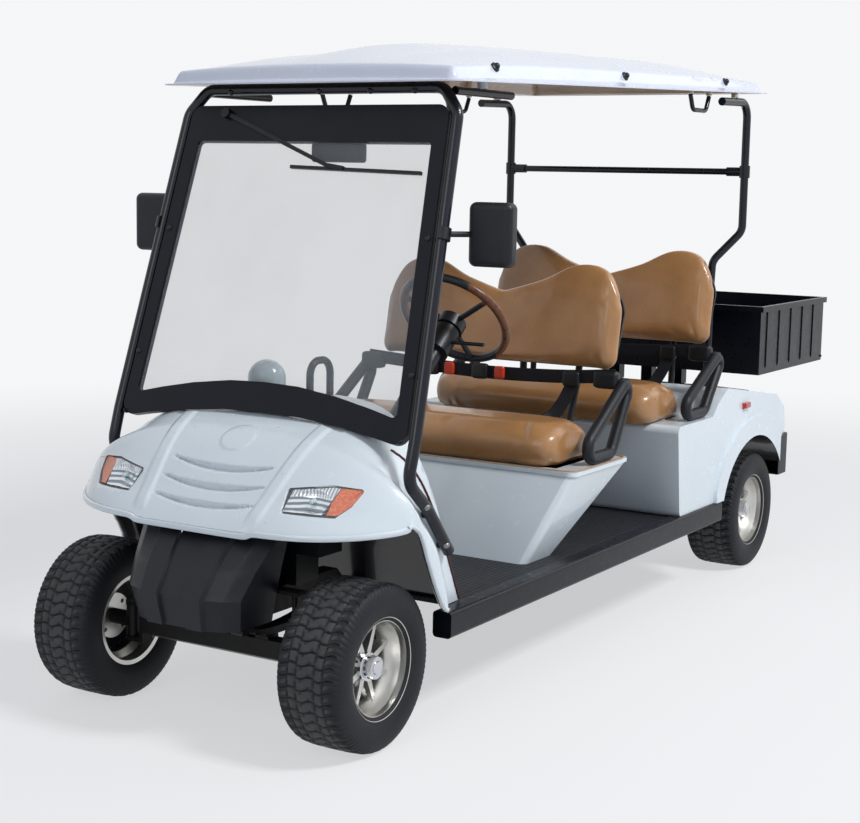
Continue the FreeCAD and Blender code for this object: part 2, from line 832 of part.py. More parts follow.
def make_rear_body():
    points = [V(x, -rear_body_half, z) for x, z in rear_profile]
    face = Part.Face(outline(points, rear_body_corner))
    body = face.extrude(across * 2 * rear_body_half)
    inner_face = face.makeOffset2D(-shell_wall)
    bore = inner_face.extrude(across * 2 * (rear_body_half - shell_wall))
    bore.translate(across * shell_wall)
    shell = body.cut(bore)
    low = floor_top - overrun
    hole_half = rear_body_half - under_hole_margin
    tail_half = well_inner - overrun
    shell = shell.cut(box(under_hole_front_x, under_hole_rear_x, -hole_half, hole_half, low, floor_top + overrun))
    shell = shell.cut(box(tail_hole_front_x, tail_hole_rear_x, -tail_half, tail_half, low, tail_low_z + overrun))
    shell = shell.cut(box(seat_hole_front_x, seat_hole_rear_x, -seat_hole_half, seat_hole_half,
                          rear_seat_z - overrun, rear_seat_z + overrun))
    pieces = [shell]
    for side in (1, -1):
        y0, y1 = sorted((side * (rear_body_half - shell_wall / 2), side * (rear_body_half + flare_out)))
        flare = ellipse_prism(flare_width, y0, y1)
        keep = box(flare_front_x, flare_rear_x, y0, y1, floor_top + seat_gap, rear_seat_z)
        pieces.append(flare.common(keep))
        y0, y1 = sorted((side * well_inner, side * (rear_body_half - shell_wall / 2)))
        well = ellipse_prism(shell_wall, y0, y1)
        well = well.common(box(flare_front_x, well_rear_x, y0, y1, floor_top + seat_gap, rear_seat_z))
        pieces.append(well)
    whole = fused(pieces)
    for side in (1, -1):
        y0, y1 = sorted((side * (well_inner + shell_wall), side * (rear_body_half + overrun * 2)))
        whole = whole.cut(ellipse_prism(0.0, y0, y1))
        y0, y1 = sorted((side * (sill_inner - seat_gap), side * (body_half_width + overrun)))
        whole = whole.cut(box(rear_profile[0][0] + overrun, sill_rear_x - overrun, y0, y1, 0, panel_bottom))
    reach = body_half_width + overrun
    return whole.cut(box(rear_bumper_front_x + 2 * seat_gap, -rear_reach, -reach, reach, 0, tail_low_z))


# Front seat pedestal: flares up from a narrow foot to a wide rim under the seat

pedestal_foot_front = -930.0
pedestal_foot_rear = -1125.0
pedestal_foot_half = 440.0
pedestal_top_front = -1062.0
pedestal_top_rear = -1462.0
pedestal_top_half = 540.0
pedestal_corner = 30.0
front_seat_z = 603.0
rim_thickness = 14.0
front_hole_margin = 45.0


def level_outline(front_x, rear_x, half, z, corner):
    return outline([V(front_x, half, z), V(rear_x, half, z), V(rear_x, -half, z), V(front_x, -half, z)], corner)


def pedestal_outline(share, inset):
    """Level outline of the pedestal's wall at a share of the way from its foot to its rim."""
    def between(foot, top):
        return foot + (top - foot) * share
    z = between(floor_top + seat_gap, front_seat_z - rim_thickness)
    return level_outline(between(pedestal_foot_front, pedestal_top_front) - inset,
                         between(pedestal_foot_rear, pedestal_top_rear) + inset,
                         between(pedestal_foot_half, pedestal_top_half - shell_wall) - inset, z, pedestal_corner - inset)


def make_pedestal():
    over_share = 0.1
    body = Part.makeLoft([pedestal_outline(0.0, 0.0), pedestal_outline(1.0, 0.0)], True, True)
    bore = Part.makeLoft([pedestal_outline(-over_share, shell_wall), pedestal_outline(1 + over_share, shell_wall)],
                         True, True)
    high = front_seat_z - rim_thickness
    rim = Part.Face(level_outline(pedestal_top_front + shell_wall, pedestal_top_rear - shell_wall, pedestal_top_half,
                                  high, pedestal_corner)).extrude(upward * rim_thickness)
    hole = box(pedestal_top_front - front_hole_margin, pedestal_top_rear + front_hole_margin * 2,
               -pedestal_top_half + front_hole_margin * 2, pedestal_top_half - front_hole_margin * 2,
               high - overrun, front_seat_z + overrun)
    return body.cut(bore).fuse(rim.cut(hole))


# Seats: both rows are made alike from their own places

seat_inset = 85.0
seat_half = body_half_width - seat_inset
cushion_height = 132.0
cushion_back_slope = 63.0
hinge_radius = 8.0
hinge_pin_radius = 4.0
hinge_places = [-330.0, 330.0]
hinge_length = 60.0
ear_thickness = 5.0
back_inset = 72.0
back_half = body_half_width - back_inset
back_thickness = 74.0
back_height = 372.0
back_lean = 0.2
back_edge = 24.0
panel_thickness = 10.0
panel_height = 300.0
post_radius = 12.0
post_half = 300.0
cross_bar_drop = 24.0
post_bend = 60.0
panel_lift = 16.0
back_foot_corner = 40.0
arm_radius = 20.0
arm_inset = 48.0
arm_half = body_half_width - arm_inset
arm_bend = 45.0
arm_tip_drop = 26.0
arm_tip_rise = 6.0
arm_tip_reach = 24.0
hump_places_shares = [0.0, 0.32, 0.62, 0.86, 1.0]
hump_height_shares = [0.735, 0.86, 1.0, 0.93, 0.62]
rows = {
    "front": {"front_x": -1040.0, "hinge_x": -1416.0, "seat_z": front_seat_z, "back_x": -1455.0, "back_z": 866.0,
              "arm_front_x": -1120.0, "arm_rear_x": -1375.0},
    "rear": {"front_x": rear_axle_x + 885.0, "hinge_x": rear_axle_x + 510.0, "seat_z": rear_seat_z,
             "back_x": rear_axle_x + 388.0, "back_z": 890.0, "arm_front_x": rear_axle_x + 745.0,
             "arm_rear_x": rear_axle_x + 490.0},
}


def make_cushion(row):
    """Upholstered seat bottom on its board, with the hinge barrels along the rear edge."""
    z = row["seat_z"] + seat_gap
    hinge_z = z + hinge_radius
    rear_x = row["hinge_x"] + hinge_radius
    nose = row["front_x"]
    depth = nose - rear_x
    side = [(rear_x, z), (nose - depth * 0.14, z), (nose, z + cushion_height * 0.5),
            (nose - depth * 0.04, z + cushion_height * 0.95), (nose - depth * 0.3, z + cushion_height * 0.93),
            (rear_x + cushion_back_slope, z + cushion_height * 0.88)]
    pad = prism([V(x, -seat_half, h) for x, h in side], across * 2 * seat_half, cushion_height * 0.3)
    barrels = []
    for y in hinge_places:
        barrel = rod(V(row["hinge_x"], y - hinge_length / 2, hinge_z), V(row["hinge_x"], y + hinge_length / 2, hinge_z),
                     hinge_radius)
        link = box(row["hinge_x"], rear_x + overrun, y - hinge_length / 2, y + hinge_length / 2, z, hinge_z)
        bore = rod(V(row["hinge_x"], y - hinge_length, hinge_z), V(row["hinge_x"], y + hinge_length, hinge_z),
                   hinge_pin_radius + pin_clearance)
        barrels.append(fused([barrel, link]).cut(bore))
    return fused([pad] + barrels)


def make_seat_hinges(row):
    """Pins of the seat hinges with an ear at each end, standing on the rim."""
    z = row["seat_z"]
    hinge_z = z + seat_gap + hinge_radius
    x = row["hinge_x"]
    pieces = []
    for y in hinge_places:
        reach = hinge_length / 2 + seat_gap + ear_thickness
        pin = rod(V(x, y - reach, hinge_z), V(x, y + reach, hinge_z), hinge_pin_radius)
        ears = []
        for side in (1, -1):
            y0 = y + side * (hinge_length / 2 + seat_gap)
            y1 = y + side * reach
            ears.append(box(x - hinge_radius, x + hinge_radius, y0, y1, z + seat_gap, hinge_z + hinge_radius))
        pieces.append(fused([pin] + ears))
    return pieces


def lean_x(row, z, back=0.0):
    return row["back_x"] - back_lean * (z - row["back_z"]) - back


def back_outline(row, half, low, height, x_back):
    """Closed front-view outline of a seat back with its two humps, standing on the leaning plane."""
    top = []
    for side in (1, -1):
        pairs = list(zip(hump_places_shares, hump_height_shares))
        if side < 0:
            pairs = pairs[1:]
        else:
            pairs = pairs[::-1]
        for place, rise in pairs:
            z = low + height * rise
            top.append(V(lean_x(row, z, x_back), side * half * place, z))
    curve = Part.BSplineCurve()
    curve.interpolate(top)
    foot = [V(lean_x(row, low, x_back), -half * 0.97, low), V(lean_x(row, low, x_back), half * 0.97, low)]
    corner = corner_edges([top[-1], foot[0], foot[1], top[0]], back_foot_corner)
    return Part.Wire([curve.toShape()] + corner)


def make_backrest(row):
    face = Part.Face(back_outline(row, back_half, row["back_z"], back_height, 0.0))
    pad = face.extrude(forward * -back_thickness)
    return softened(pad, back_edge, lambda edge: edge.BoundBox.YLength > back_thickness or
                    edge.BoundBox.ZLength > back_thickness)


def make_seat_frame(row):
    """Moulded back panel, two posts and the cross bar between the armrests."""
    low = row["back_z"] + panel_lift
    gap = back_thickness + seat_gap
    face = Part.Face(back_outline(row, back_half * 0.93, low, panel_height, gap))
    panel = face.extrude(forward * -panel_thickness)
    bar_z = row["back_z"] - cross_bar_drop
    behind = gap + panel_thickness + post_radius * 0.8
    pieces = [panel]
    bar_x = lean_x(row, bar_z, behind)
    reach = arm_half - arm_radius - seat_gap
    pieces.append(rod(V(bar_x, -reach, bar_z), V(bar_x, reach, bar_z), post_radius))
    for side in (1, -1):
        y = side * post_half
        top_z = row["back_z"] + panel_height * 0.8
        foot_z = row["post_foot_z"]
        pieces.append(tube([V(row["post_foot_x"], y, foot_z), V(bar_x, y, bar_z),
                            V(lean_x(row, top_z, behind), y, top_z)], post_radius, post_bend))
    return fused(pieces).cut(row["stand"])


def make_armrests(row):
    z = row["seat_z"] + seat_gap + arm_radius
    top_x = lean_x(row, row["back_z"] - cross_bar_drop, back_thickness * 0.55)
    top_z = row["back_z"] - cross_bar_drop
    points = [V(row["arm_front_x"], arm_half, z), V(row["arm_rear_x"], arm_half, z),
              V(top_x, arm_half, top_z - arm_tip_drop), V(top_x + arm_tip_reach, arm_half, top_z + arm_tip_rise)]
    loop = tube(points, arm_radius, arm_bend, closed=True)
    return both_sides(loop)


rows["front"]["post_foot_x"] = -1447.0
rows["front"]["post_foot_z"] = front_seat_z - overrun / 2
rows["front"]["stand"] = box(-rear_reach, 0, -body_half_width, body_half_width, 0, front_seat_z + seat_gap)
rows["rear"]["post_foot_x"] = rear_axle_x + 305.0
rows["rear"]["post_foot_z"] = deck_top(rows["rear"]["post_foot_x"]) - overrun / 2
rows["rear"]["stand"] = deck_solid()

battery_front_x = rear_axle_x + 705.0
battery_rear_x = rear_axle_x + 425.0
battery_half = 380.0
battery_height = 255.0


def make_battery():
    return softened(box(battery_front_x, battery_rear_x, -battery_half, battery_half, floor_top + seat_gap,
                        floor_top + battery_height), overrun / 2, lambda edge: edge.BoundBox.ZLength > battery_height / 2)


# Wheels: tyre and rim turned about the axle

tyre_half_width = 102.5
bead_radius = 127.0
rim_half_width = 92.0
tyre_profile_shares = [(0.0, 0.817), (0.195, 0.817), (0.6, 1.0), (1.0, 0.8)]
rim_profile = [(146.0, 92.0), (146.0, 84.2), (126.7, 84.2), (126.7, 30.0), (112.0, 16.0), (112.0, -20.0),
               (126.7, -40.0), (126.7, -84.2), (143.0, -84.2), (143.0, -90.0), (121.0, -86.0), (121.0, -46.0),
               (106.0, -26.0), (106.0, 20.0), (119.0, 44.0), (128.0, 70.0), (133.0, 88.0), (139.0, 92.0)]
spoke_count = 8
spoke_face = 38.0
spoke_depth = 16.0
spoke_root_width = 20.0
spoke_tip_width = 11.0
spoke_tip_radius = 113.0
hub_radius = 38.0
hub_back = -12.0
hub_step = 8.0
cap_radius = 30.0
cap_front = 74.0
bolt_disc_radius = 66.0
bolt_disc_front = 4.0
bolt_circle = 101.6
bolt_hole_radius = 6.6
bolt_count = 4
spindle_radius = 14.0
spindle_reach = 40.0


def make_tyre(centre, side):
    half = [(bead_radius + (wheel_radius - bead_radius) * a, tyre_half_width * b) for a, b in tyre_profile_shares]
    profile = [(r, side * w) for r, w in half] + [(r, -side * w) for r, w in half[::-1]]
    return turned(profile, centre)


def make_rim(centre, side):
    barrel = turned([(r, side * w) for r, w in rim_profile], centre)
    hub = rod(centre + across * side * hub_back, centre + across * side * (spoke_face + hub_step), hub_radius)
    cap = rod(centre + across * side * spoke_face, centre + across * side * cap_front, cap_radius)
    spokes = []
    for k in range(spoke_count):
        y0 = centre.y + side * (spoke_face - spoke_depth)
        points = [V(centre.x - spoke_root_width / 2, y0, centre.z + hub_radius * 0.8),
                  V(centre.x + spoke_root_width / 2, y0, centre.z + hub_radius * 0.8),
                  V(centre.x + spoke_tip_width / 2, y0, centre.z + spoke_tip_radius),
                  V(centre.x - spoke_tip_width / 2, y0, centre.z + spoke_tip_radius)]
        spoke = prism(points, across * side * spoke_depth)
        spoke.rotate(centre, across, 360.0 * (k + 0.5) / spoke_count)
        spokes.append(spoke)
    disc = rod(centre + across * side * hub_back, centre + across * side * bolt_disc_front, bolt_disc_radius)
    whole = fused([barrel, hub, cap, disc] + spokes)
    for k in range(bolt_count):
        turn = 2 * math.pi * (k + 0.5) / bolt_count
        place = centre + V(math.cos(turn), 0, math.sin(turn)) * (bolt_circle / 2)
        whole = whole.cut(rod(place + across * side * (hub_back - small_overrun),
                              place + across * side * (bolt_disc_front + small_overrun), bolt_hole_radius))
    bore = rod(centre + across * side * (hub_back - small_overrun),
               centre + across * side * (spindle_reach + 2 * small_overrun), spindle_radius + pin_clearance)
    return whole.cut(bore)


# Front axle beam with kingpins, and the knuckles and tie rod that steer the wheels

kingpin_half = 345.0
beam_half_height = 25.0
beam_wall = 5.0
yoke_inner = 290.0
yoke_plate = 12.0
lug_low = 46.0
lug_thickness = 12.0
lug_half_width = 20.0
yoke_edge = 2.0
kingpin_radius = 8.0
boss_radius = 18.0
arm_back = 76.0
arm_thickness = 12.0
joint_pin_radius = 6.0
joint_pin_drop = 26.0
knuckle_play = 1.0
collar_step = 4.0
eye_lift = 4.0
tie_eye_radius = 13.0
tie_eye_height = 16.0
tie_rod_radius = 8.0
free_eye_clearance = 0.8


def make_front_axle():
    z = wheel_radius
    h = beam_half_height
    beam = box(-h, h, -yoke_inner, yoke_inner, z - h, z + h)
    bore = box(-h + beam_wall, h - beam_wall, -yoke_inner - overrun, yoke_inner + overrun, z - h + beam_wall,
               z + h - beam_wall)
    pieces = [beam.cut(bore)]
    for side in (1, -1):
        high = lug_low + lug_thickness
        wide = lug_half_width + yoke_edge
        pieces.append(box(-wide, wide, side * yoke_inner, side * (yoke_inner + yoke_plate), z - high, z + high))
        for way in (1, -1):
            pieces.append(box(-lug_half_width, lug_half_width, side * yoke_inner, side * kingpin_half,
                              z + way * lug_low, z + way * high))
            pieces.append(rod(V(0, side * kingpin_half, z + way * lug_low), V(0, side * kingpin_half, z + way * high),
                              lug_half_width))
        pieces.append(rod(V(0, side * kingpin_half, z - high), V(0, side * kingpin_half, z + high), kingpin_radius))
        pieces.append(spring_pad(0.0, side, z + h))
    return fused(pieces)


spring_half_width = 22.0
leaf_thickness = 7.0
leaf_count = 3
pad_height = 10.0
pad_half_length = 24.0
pad_sink = 2.0
eye_radius = 13.0
hanger_half_length = 14.0
hanger_below_eye = 12.0
hanger_sink = 2.0
leaf_step_share = 0.28
eye_pin_radius = 6.0
spring_sets = {
    "front": {"axle_x": 0.0, "centre_x": -40.0, "half": 165.0, "axle_top": wheel_radius + beam_half_height,
              "rail_low": chassis_front_rise - rail_height / 2, "sag": 20.0},
    "rear": {"axle_x": rear_axle_x, "centre_x": rear_axle_x, "half": 215.0, "axle_top": wheel_radius + 38.0,
             "rail_low": chassis_rear_rise - rail_height / 2, "sag": 40.0},
}


def spring_pad(axle_x, side, top):
    y = side * chassis_rail_half
    return box(axle_x - pad_half_length, axle_x + pad_half_length, y - spring_half_width, y + spring_half_width,
               top - pad_sink, top + pad_height)


def leaf(centre_x, z, half, sag, y0, y1):
    def arc(rise):
        return Part.Arc(V(centre_x - half, y0, z + sag + rise), V(centre_x, y0, z + rise),
                        V(centre_x + half, y0, z + sag + rise)).toShape()
    low = arc(0.0)
    high = arc(leaf_thickness)
    ends = []
    for way in (1, -1):
        foot = V(centre_x + way * half, y0, z + sag)
        ends.append(Part.LineSegment(foot, foot + upward * leaf_thickness).toShape())
    return Part.Face(Part.Wire(Part.__sortEdges__([low, high] + ends))).extrude(across * (y1 - y0))


def make_spring(data, side):
    y0 = side * chassis_rail_half - spring_half_width
    y1 = y0 + 2 * spring_half_width
    base = data["axle_top"] + pad_height + seat_gap
    leaves = []
    for k in range(leaf_count):
        share = 1.0 - leaf_step_share * (leaf_count - 1 - k)
        leaves.append(leaf(data["centre_x"], base + leaf_thickness * k * 0.98, data["half"] * share,
                           data["sag"] * share * share, y0, y1))
    eye_z = base + leaf_thickness * (leaf_count - 0.5) + data["sag"]
    pieces = leaves
    for way in (1, -1):
        x = data["centre_x"] + way * data["half"]
        pieces.append(rod(V(x, y0, eye_z), V(x, y1, eye_z), eye_radius))
    spring = fused(pieces)
    for way in (1, -1):
        x = data["centre_x"] + way * data["half"]
        spring = spring.cut(rod(V(x, y0 - small_overrun, eye_z), V(x, y1 + small_overrun, eye_z),
                                eye_pin_radius + pin_clearance))
    return spring, eye_z


def make_hanger(data, side):
    """Two plates under the chassis rail with the pin through the spring's eye."""
    y = side * chassis_rail_half
    eye_z = data["axle_top"] + pad_height + seat_gap + leaf_thickness * (leaf_count - 0.5) + data["sag"]
    pieces = []
    for way in (1, -1):
        x = data["centre_x"] + way * data["half"]
        for hand in (1, -1):
            y0 = y + hand * (spring_half_width + seat_gap)
            y1 = y + hand * rail_width / 2
            pieces.append(box(x - hanger_half_length, x + hanger_half_length, y0, y1, eye_z - hanger_below_eye,
                              data["rail_low"] + hanger_sink))
        pieces.append(rod(V(x, y - rail_width / 2, eye_z), V(x, y + rail_width / 2, eye_z), eye_pin_radius))
    return pieces


def make_knuckle(side):
    z = wheel_radius
    y = side * kingpin_half
    high = lug_low - knuckle_play
    boss = rod(V(0, y, z - high), V(0, y, z + high), boss_radius)
    wheel_y = side * (front_half_track + spindle_reach)
    spindle = rod(V(0, y, z), V(0, wheel_y, z), spindle_radius)
    collar_y = side * (front_half_track + hub_back - knuckle_play)
    collar = rod(V(0, y, z), V(0, collar_y, z), boss_radius + collar_step)
    arm_low = z - high
    arm = box(-arm_back, 0, y - boss_radius * 0.55, y + boss_radius * 0.55, arm_low, arm_low + arm_thickness)
    end = rod(V(-arm_back, y, arm_low), V(-arm_back, y, arm_low + arm_thickness), boss_radius * 0.8)
    pin = rod(V(-arm_back, y, arm_low - joint_pin_drop), V(-arm_back, y, arm_low), joint_pin_radius)
    whole = fused([boss, spindle, collar, arm, end, pin])
    reach = high + small_overrun
    return whole.cut(rod(V(0, y, z - reach), V(0, y, z + reach), kingpin_radius + pin_clearance))


def make_tie_rod():
    low = wheel_radius - lug_low + knuckle_play - joint_pin_drop + eye_lift
    pieces = []
    for side in (1, -1):
        y = side * kingpin_half
        pieces.append(rod(V(-arm_back, y, low), V(-arm_back, y, low + tie_eye_height), tie_eye_radius))
    middle = low + tie_eye_height / 2
    pieces.append(rod(V(-arm_back, -kingpin_half, middle), V(-arm_back, kingpin_half, middle), tie_rod_radius * 0.9))
    whole = fused(pieces)
    for side, clearance in ((1, pin_clearance), (-1, free_eye_clearance)):
        y = side * kingpin_half
        whole = whole.cut(rod(V(-arm_back, y, low - small_overrun), V(-arm_back, y, low + tie_eye_height + small_overrun),
                              joint_pin_radius + clearance))
    return whole


# Rear axle with its drive housing and the motor block, and the dampers of both axles

axle_tube_radius = 38.0
drive_radius = 88.0
drive_width = 150.0
motor_radius = 82.0
motor_length = 210.0
motor_x_off = 165.0
drum_radius = 84.0
drum_width = 44.0
damper_radius = 19.0
damper_rod_radius = 8.0
damper_body_share = 0.5
damper_shelf = 9.0
front_damper_half = 235.0
rear_damper_half = 225.0
front_shelf_lift = 30.0
rear_shelf_lift = 25.0
shelf_half_length = 22.0
damper_seat_rise = 6.0
damper_seat_half = 20.0
drum_gap = 3.0
housing_margin = 5.0


def make_rear_axle():
    z = wheel_radius
    x = rear_axle_x
    end = rear_half_track + hub_back - drum_gap
    tube_end = end - drum_width
    housing = rod(V(x, -tube_end, z), V(x, tube_end, z), axle_tube_radius)
    drive = softened(rod(V(x, -drive_width / 2, z), V(x, drive_width / 2, z), drive_radius), overrun)
    motor = rod(V(x + motor_x_off, -motor_length / 2, z), V(x + motor_x_off, motor_length / 2, z), motor_radius)
    link = box(x, x + motor_x_off, -overrun, drive_width / 2 - housing_margin, z - axle_tube_radius,
               z + axle_tube_radius)
    pieces = [housing, drive, motor, link]
    seat = damper_seat_half
    for side in (1, -1):
        pieces.append(rod(V(x, side * tube_end, z), V(x, side * end, z), drum_radius))
        pieces.append(rod(V(x, side * end, z), V(x, side * (rear_half_track + spindle_reach), z), spindle_radius))
        pieces.append(spring_pad(x, side, z + axle_tube_radius))
        pieces.append(box(x - seat, x + seat, side * (rear_damper_half - seat), side * (rear_damper_half + seat), z,
                          z + axle_tube_radius + damper_seat_rise))
    return fused(pieces)


def make_damper(x, y, low, high):
    middle = low + (high - low) * damper_body_share
    return fused([rod(V(x, y, low + seat_gap), V(x, y, middle), damper_radius),
                  rod(V(x, y, middle - small_overrun), V(x, y, high - seat_gap), damper_rod_radius)])


def make_dampers():
    dampers = []
    front_low = wheel_radius + beam_half_height
    rear_low = wheel_radius + axle_tube_radius + damper_seat_rise
    for side in (1, -1):
        dampers.append(make_damper(0.0, side * front_damper_half, front_low, chassis_front_rise + front_shelf_lift))
        dampers.append(make_damper(rear_axle_x, side * rear_damper_half, rear_low, chassis_rear_rise + rear_shelf_lift))
    return dampers


def make_damper_shelves():
    shelves = []
    outer = chassis_rail_half + rail_width / 2 - small_overrun
    reach = shelf_half_length
    for side in (1, -1):
        for x, half, z in ((0.0, front_damper_half, chassis_front_rise + front_shelf_lift),
                           (rear_axle_x, rear_damper_half, chassis_rear_rise + rear_shelf_lift)):
            shelves.append(box(x - reach, x + reach, side * outer, side * (half + reach), z, z + damper_shelf))
    return shelves


# Front bumper: a moulded wedge below the cowl

bumper_bulge = 28.0
bumper_nose = front_reach - bumper_bulge
bumper_levels = [(312.0, bumper_nose - 20.0, 180.0), (401.0, bumper_nose, 197.0),
                 (470.0, bumper_nose - 42.0, 212.0), (556.0, bumper_nose - 110.0, 235.0)]
bumper_rear_x = 30.0
bumper_corner = 26.0
bumper_bracket_length = 60.0
bumper_plan_shares = [(0.98, -1.3, 0.0), (0.8, 0.0, 0.0), (0.56, 0.0, 0.55), (0.515, 0.0, 1.0), (0.23, 0.0, 1.0),
                      (0.21, 0.0, 0.68)]


def bumper_section(z, front_x, half, inset, rear_x):
    """Level section: a bulged nose with a raised band on each side of its middle."""
    h = half - inset
    f = front_x - inset
    right = [V(f + bumper_corner * corner_share + bumper_bulge * bulge_share, -h * across_share, z)
             for across_share, corner_share, bulge_share in bumper_plan_shares]
    left = [V(point.x, -point.y, z) for point in reversed(right)]
    return outline([V(rear_x, h, z), V(rear_x, -h, z)] + right + left)


def make_bumper():
    outer = Part.makeLoft([bumper_section(z, x, half, 0.0, bumper_rear_x) for z, x, half in bumper_levels], True, True)
    wall = shell_wall
    levels = []
    for k, (z, x, half) in enumerate(bumper_levels):
        level = z + wall if k == 0 else (z + wall if k == len(bumper_levels) - 1 else z)
        levels.append(bumper_section(level, x, half, wall, bumper_rear_x - overrun))
    shell = outer.cut(Part.makeLoft(levels, True, True))
    low_level = bumper_levels[0]
    shell = shell.cut(box(bumper_rear_x - overrun, low_level[1] - 2 * overrun, -low_level[2] + wall, low_level[2] - wall,
                          low_level[0] - overrun, low_level[0] + overrun))
    brackets = []
    start = chassis_line[0][0] + seat_gap
    half = rail_width / 2
    for side in (1, -1):
        y = side * chassis_rail_half
        bracket = box(start, start + bumper_bracket_length, y - half, y + half, chassis_front_rise - half,
                      chassis_front_rise + rail_height / 2)
        brackets.append(bracket.common(outer))
    return fused([shell] + brackets)


# Steering wheel on its column

wheel_centre_x = -790.0
wheel_centre_y = 250.0
wheel_centre_z = 1090.0
column_angle = 40.0
steer_ring_radius = 170.0
steer_grip_radius = 13.0
steer_hub_radius = 45.0
steer_hub_depth = 38.0
column_radius = 24.0
column_gap = 6.0
shaft_radius = 10.0
shaft_reach = 40.0
hub_set_back = 12.0
spoke_set_back = 26.0
wheel_spoke_radius = 9.0
pod_length = 90.0
pod_radius = 41.0
stalk_back = 45.0
stalk_length = 150.0
stalk_radius = 6.0
gear_rear_x = -165.0
gear_front_x = -60.0
gear_inner = 122.0
gear_foot_outer = 195.0
gear_low = 485.0
box_top = 590.0


def column_axis():
    slope = math.radians(column_angle)
    return V(-math.cos(slope), 0, math.sin(slope))


def make_steering_wheel():
    centre = V(wheel_centre_x, wheel_centre_y, wheel_centre_z)
    axis = column_axis()
    ring = Part.makeTorus(steer_ring_radius, steer_grip_radius, centre, axis)
    hub = Part.makeCylinder(steer_hub_radius, steer_hub_depth, centre - axis * (steer_hub_depth + hub_set_back), axis)
    pieces = [ring, hub]
    flat = axis.cross(across)
    for turn in (90.0, 210.0, 330.0):
        out = across * math.cos(math.radians(turn)) + flat * math.sin(math.radians(turn))
        pieces.append(rod(centre - axis * spoke_set_back, centre + out * steer_ring_radius, wheel_spoke_radius))
    low = centre - axis * (steer_hub_depth + hub_set_back)
    pieces.append(rod(low + axis * column_gap, low - axis * (column_gap + shaft_reach), shaft_radius))
    return fused(pieces)


def make_column():
    centre = V(wheel_centre_x, wheel_centre_y, wheel_centre_z)
    axis = column_axis()
    start = centre - axis * (steer_hub_depth + hub_set_back + column_gap)
    reach = (gear_rear_x - start.x) / -axis.x
    end = start - axis * reach
    jacket = rod(start, end, column_radius)
    rail_top = chassis_front_rise + rail_height / 2 + seat_gap
    gear = box(gear_rear_x, gear_front_x, gear_inner, wheel_centre_y + column_radius, gear_low, box_top)
    foot = box(gear_rear_x, gear_front_x, gear_inner, gear_foot_outer, rail_top, gear_low)
    pod = rod(start, start - axis * pod_length, pod_radius)
    stalk_foot = start - axis * stalk_back
    stalk = rod(stalk_foot, stalk_foot + across * stalk_length, stalk_radius)
    bore = rod(start + axis * column_gap, start - axis * (shaft_reach + column_gap), shaft_radius + pin_clearance)
    return fused([jacket, gear, foot, pod, stalk]).cut(bore)


# Cargo box with its tailgate, and the brackets under it

cargo_front_x = rear_axle_x + 10.0
cargo_rear_x = -rear_reach
cargo_inset = 10.0
cargo_half = body_half_width - cargo_inset
cargo_low = 765.0
cargo_top = 1035.0
cargo_wall = 2.5
cargo_rim = 14.0
cargo_rim_height = 22.0
cargo_rib_count = 5
rib_rise = 4.0
rib_margin = 16.0
gate_gap = 6.0
gate_thickness = 14.0
gate_low = 775.0
gate_pin_radius = 5.0
support_half = 25.0
support_places = [rear_axle_x - 140.0, rear_axle_x - 470.0]


def make_cargo_box():
    """Sheet box open at the top and the rear, its top edge a beading that stands outwards."""
    wall = cargo_wall
    half = cargo_half - cargo_rim
    front = cargo_front_x - cargo_rim
    outer = box(front, cargo_rear_x, -half, half, cargo_low, cargo_top)
    inner = box(front - wall, cargo_rear_x - overrun, -half + wall, half - wall, cargo_low + wall, cargo_top + overrun)
    beading = box(cargo_front_x, cargo_rear_x, -cargo_half, cargo_half, cargo_top - cargo_rim_height, cargo_top)
    ribs = []
    rib_length = (front - cargo_rear_x) / (2 * cargo_rib_count + 1)
    for side in (1, -1):
        for k in range(cargo_rib_count):
            x = front - rib_length * (2 * k + 1)
            inner_y = side * (half - wall / 2)
            outer_y = side * (half + rib_rise)
            low = cargo_low + rib_margin
            high = cargo_top - cargo_rim_height
            points = [V(x, inner_y, low), V(x, outer_y, low + rib_margin), V(x, outer_y, high), V(x, inner_y, high)]
            ribs.append(prism(points, forward * -rib_length))
    shell = fused([outer, beading] + ribs).cut(inner)
    return shell.cut(gate_pin(cargo_half + overrun, gate_pin_radius + pin_clearance))


def gate_pin(reach, radius):
    x = cargo_rear_x + gate_thickness / 2
    z = gate_low + gate_thickness / 2
    return rod(V(x, -reach, z), V(x, reach, z), radius)


def make_tailgate():
    y = cargo_half - cargo_rim - cargo_wall - gate_gap
    panel = box(cargo_rear_x, cargo_rear_x + gate_thickness, -y, y, gate_low, cargo_top)
    return fused([panel, gate_pin(cargo_half - cargo_rim + rib_rise, gate_pin_radius)])


def make_cargo_support():
    """Four posts under the cargo box: the front two stand on the deck mat, the rear two on the chassis."""
    pieces = []
    for side in (1, -1):
        y = side * chassis_rail_half
        for x in support_places:
            low = chassis_rear_rise + rail_height / 2 + seat_gap
            if x > rear_body_rear_x:
                low = deck_top(x + support_half) + mat_thickness + 2 * seat_gap
            pieces.append(box(x - support_half, x + support_half, y - support_half, y + support_half, low,
                              cargo_low - seat_gap))
    return pieces


rear_bumper_rear_x = rear_axle_x - 345.0
rear_bumper_margin = 9.0
rear_bumper_half = rear_body_half + rear_bumper_margin
rail_slot_gap = 2.0
rear_bumper_low = 338.0
rear_bumper_corner = 30.0


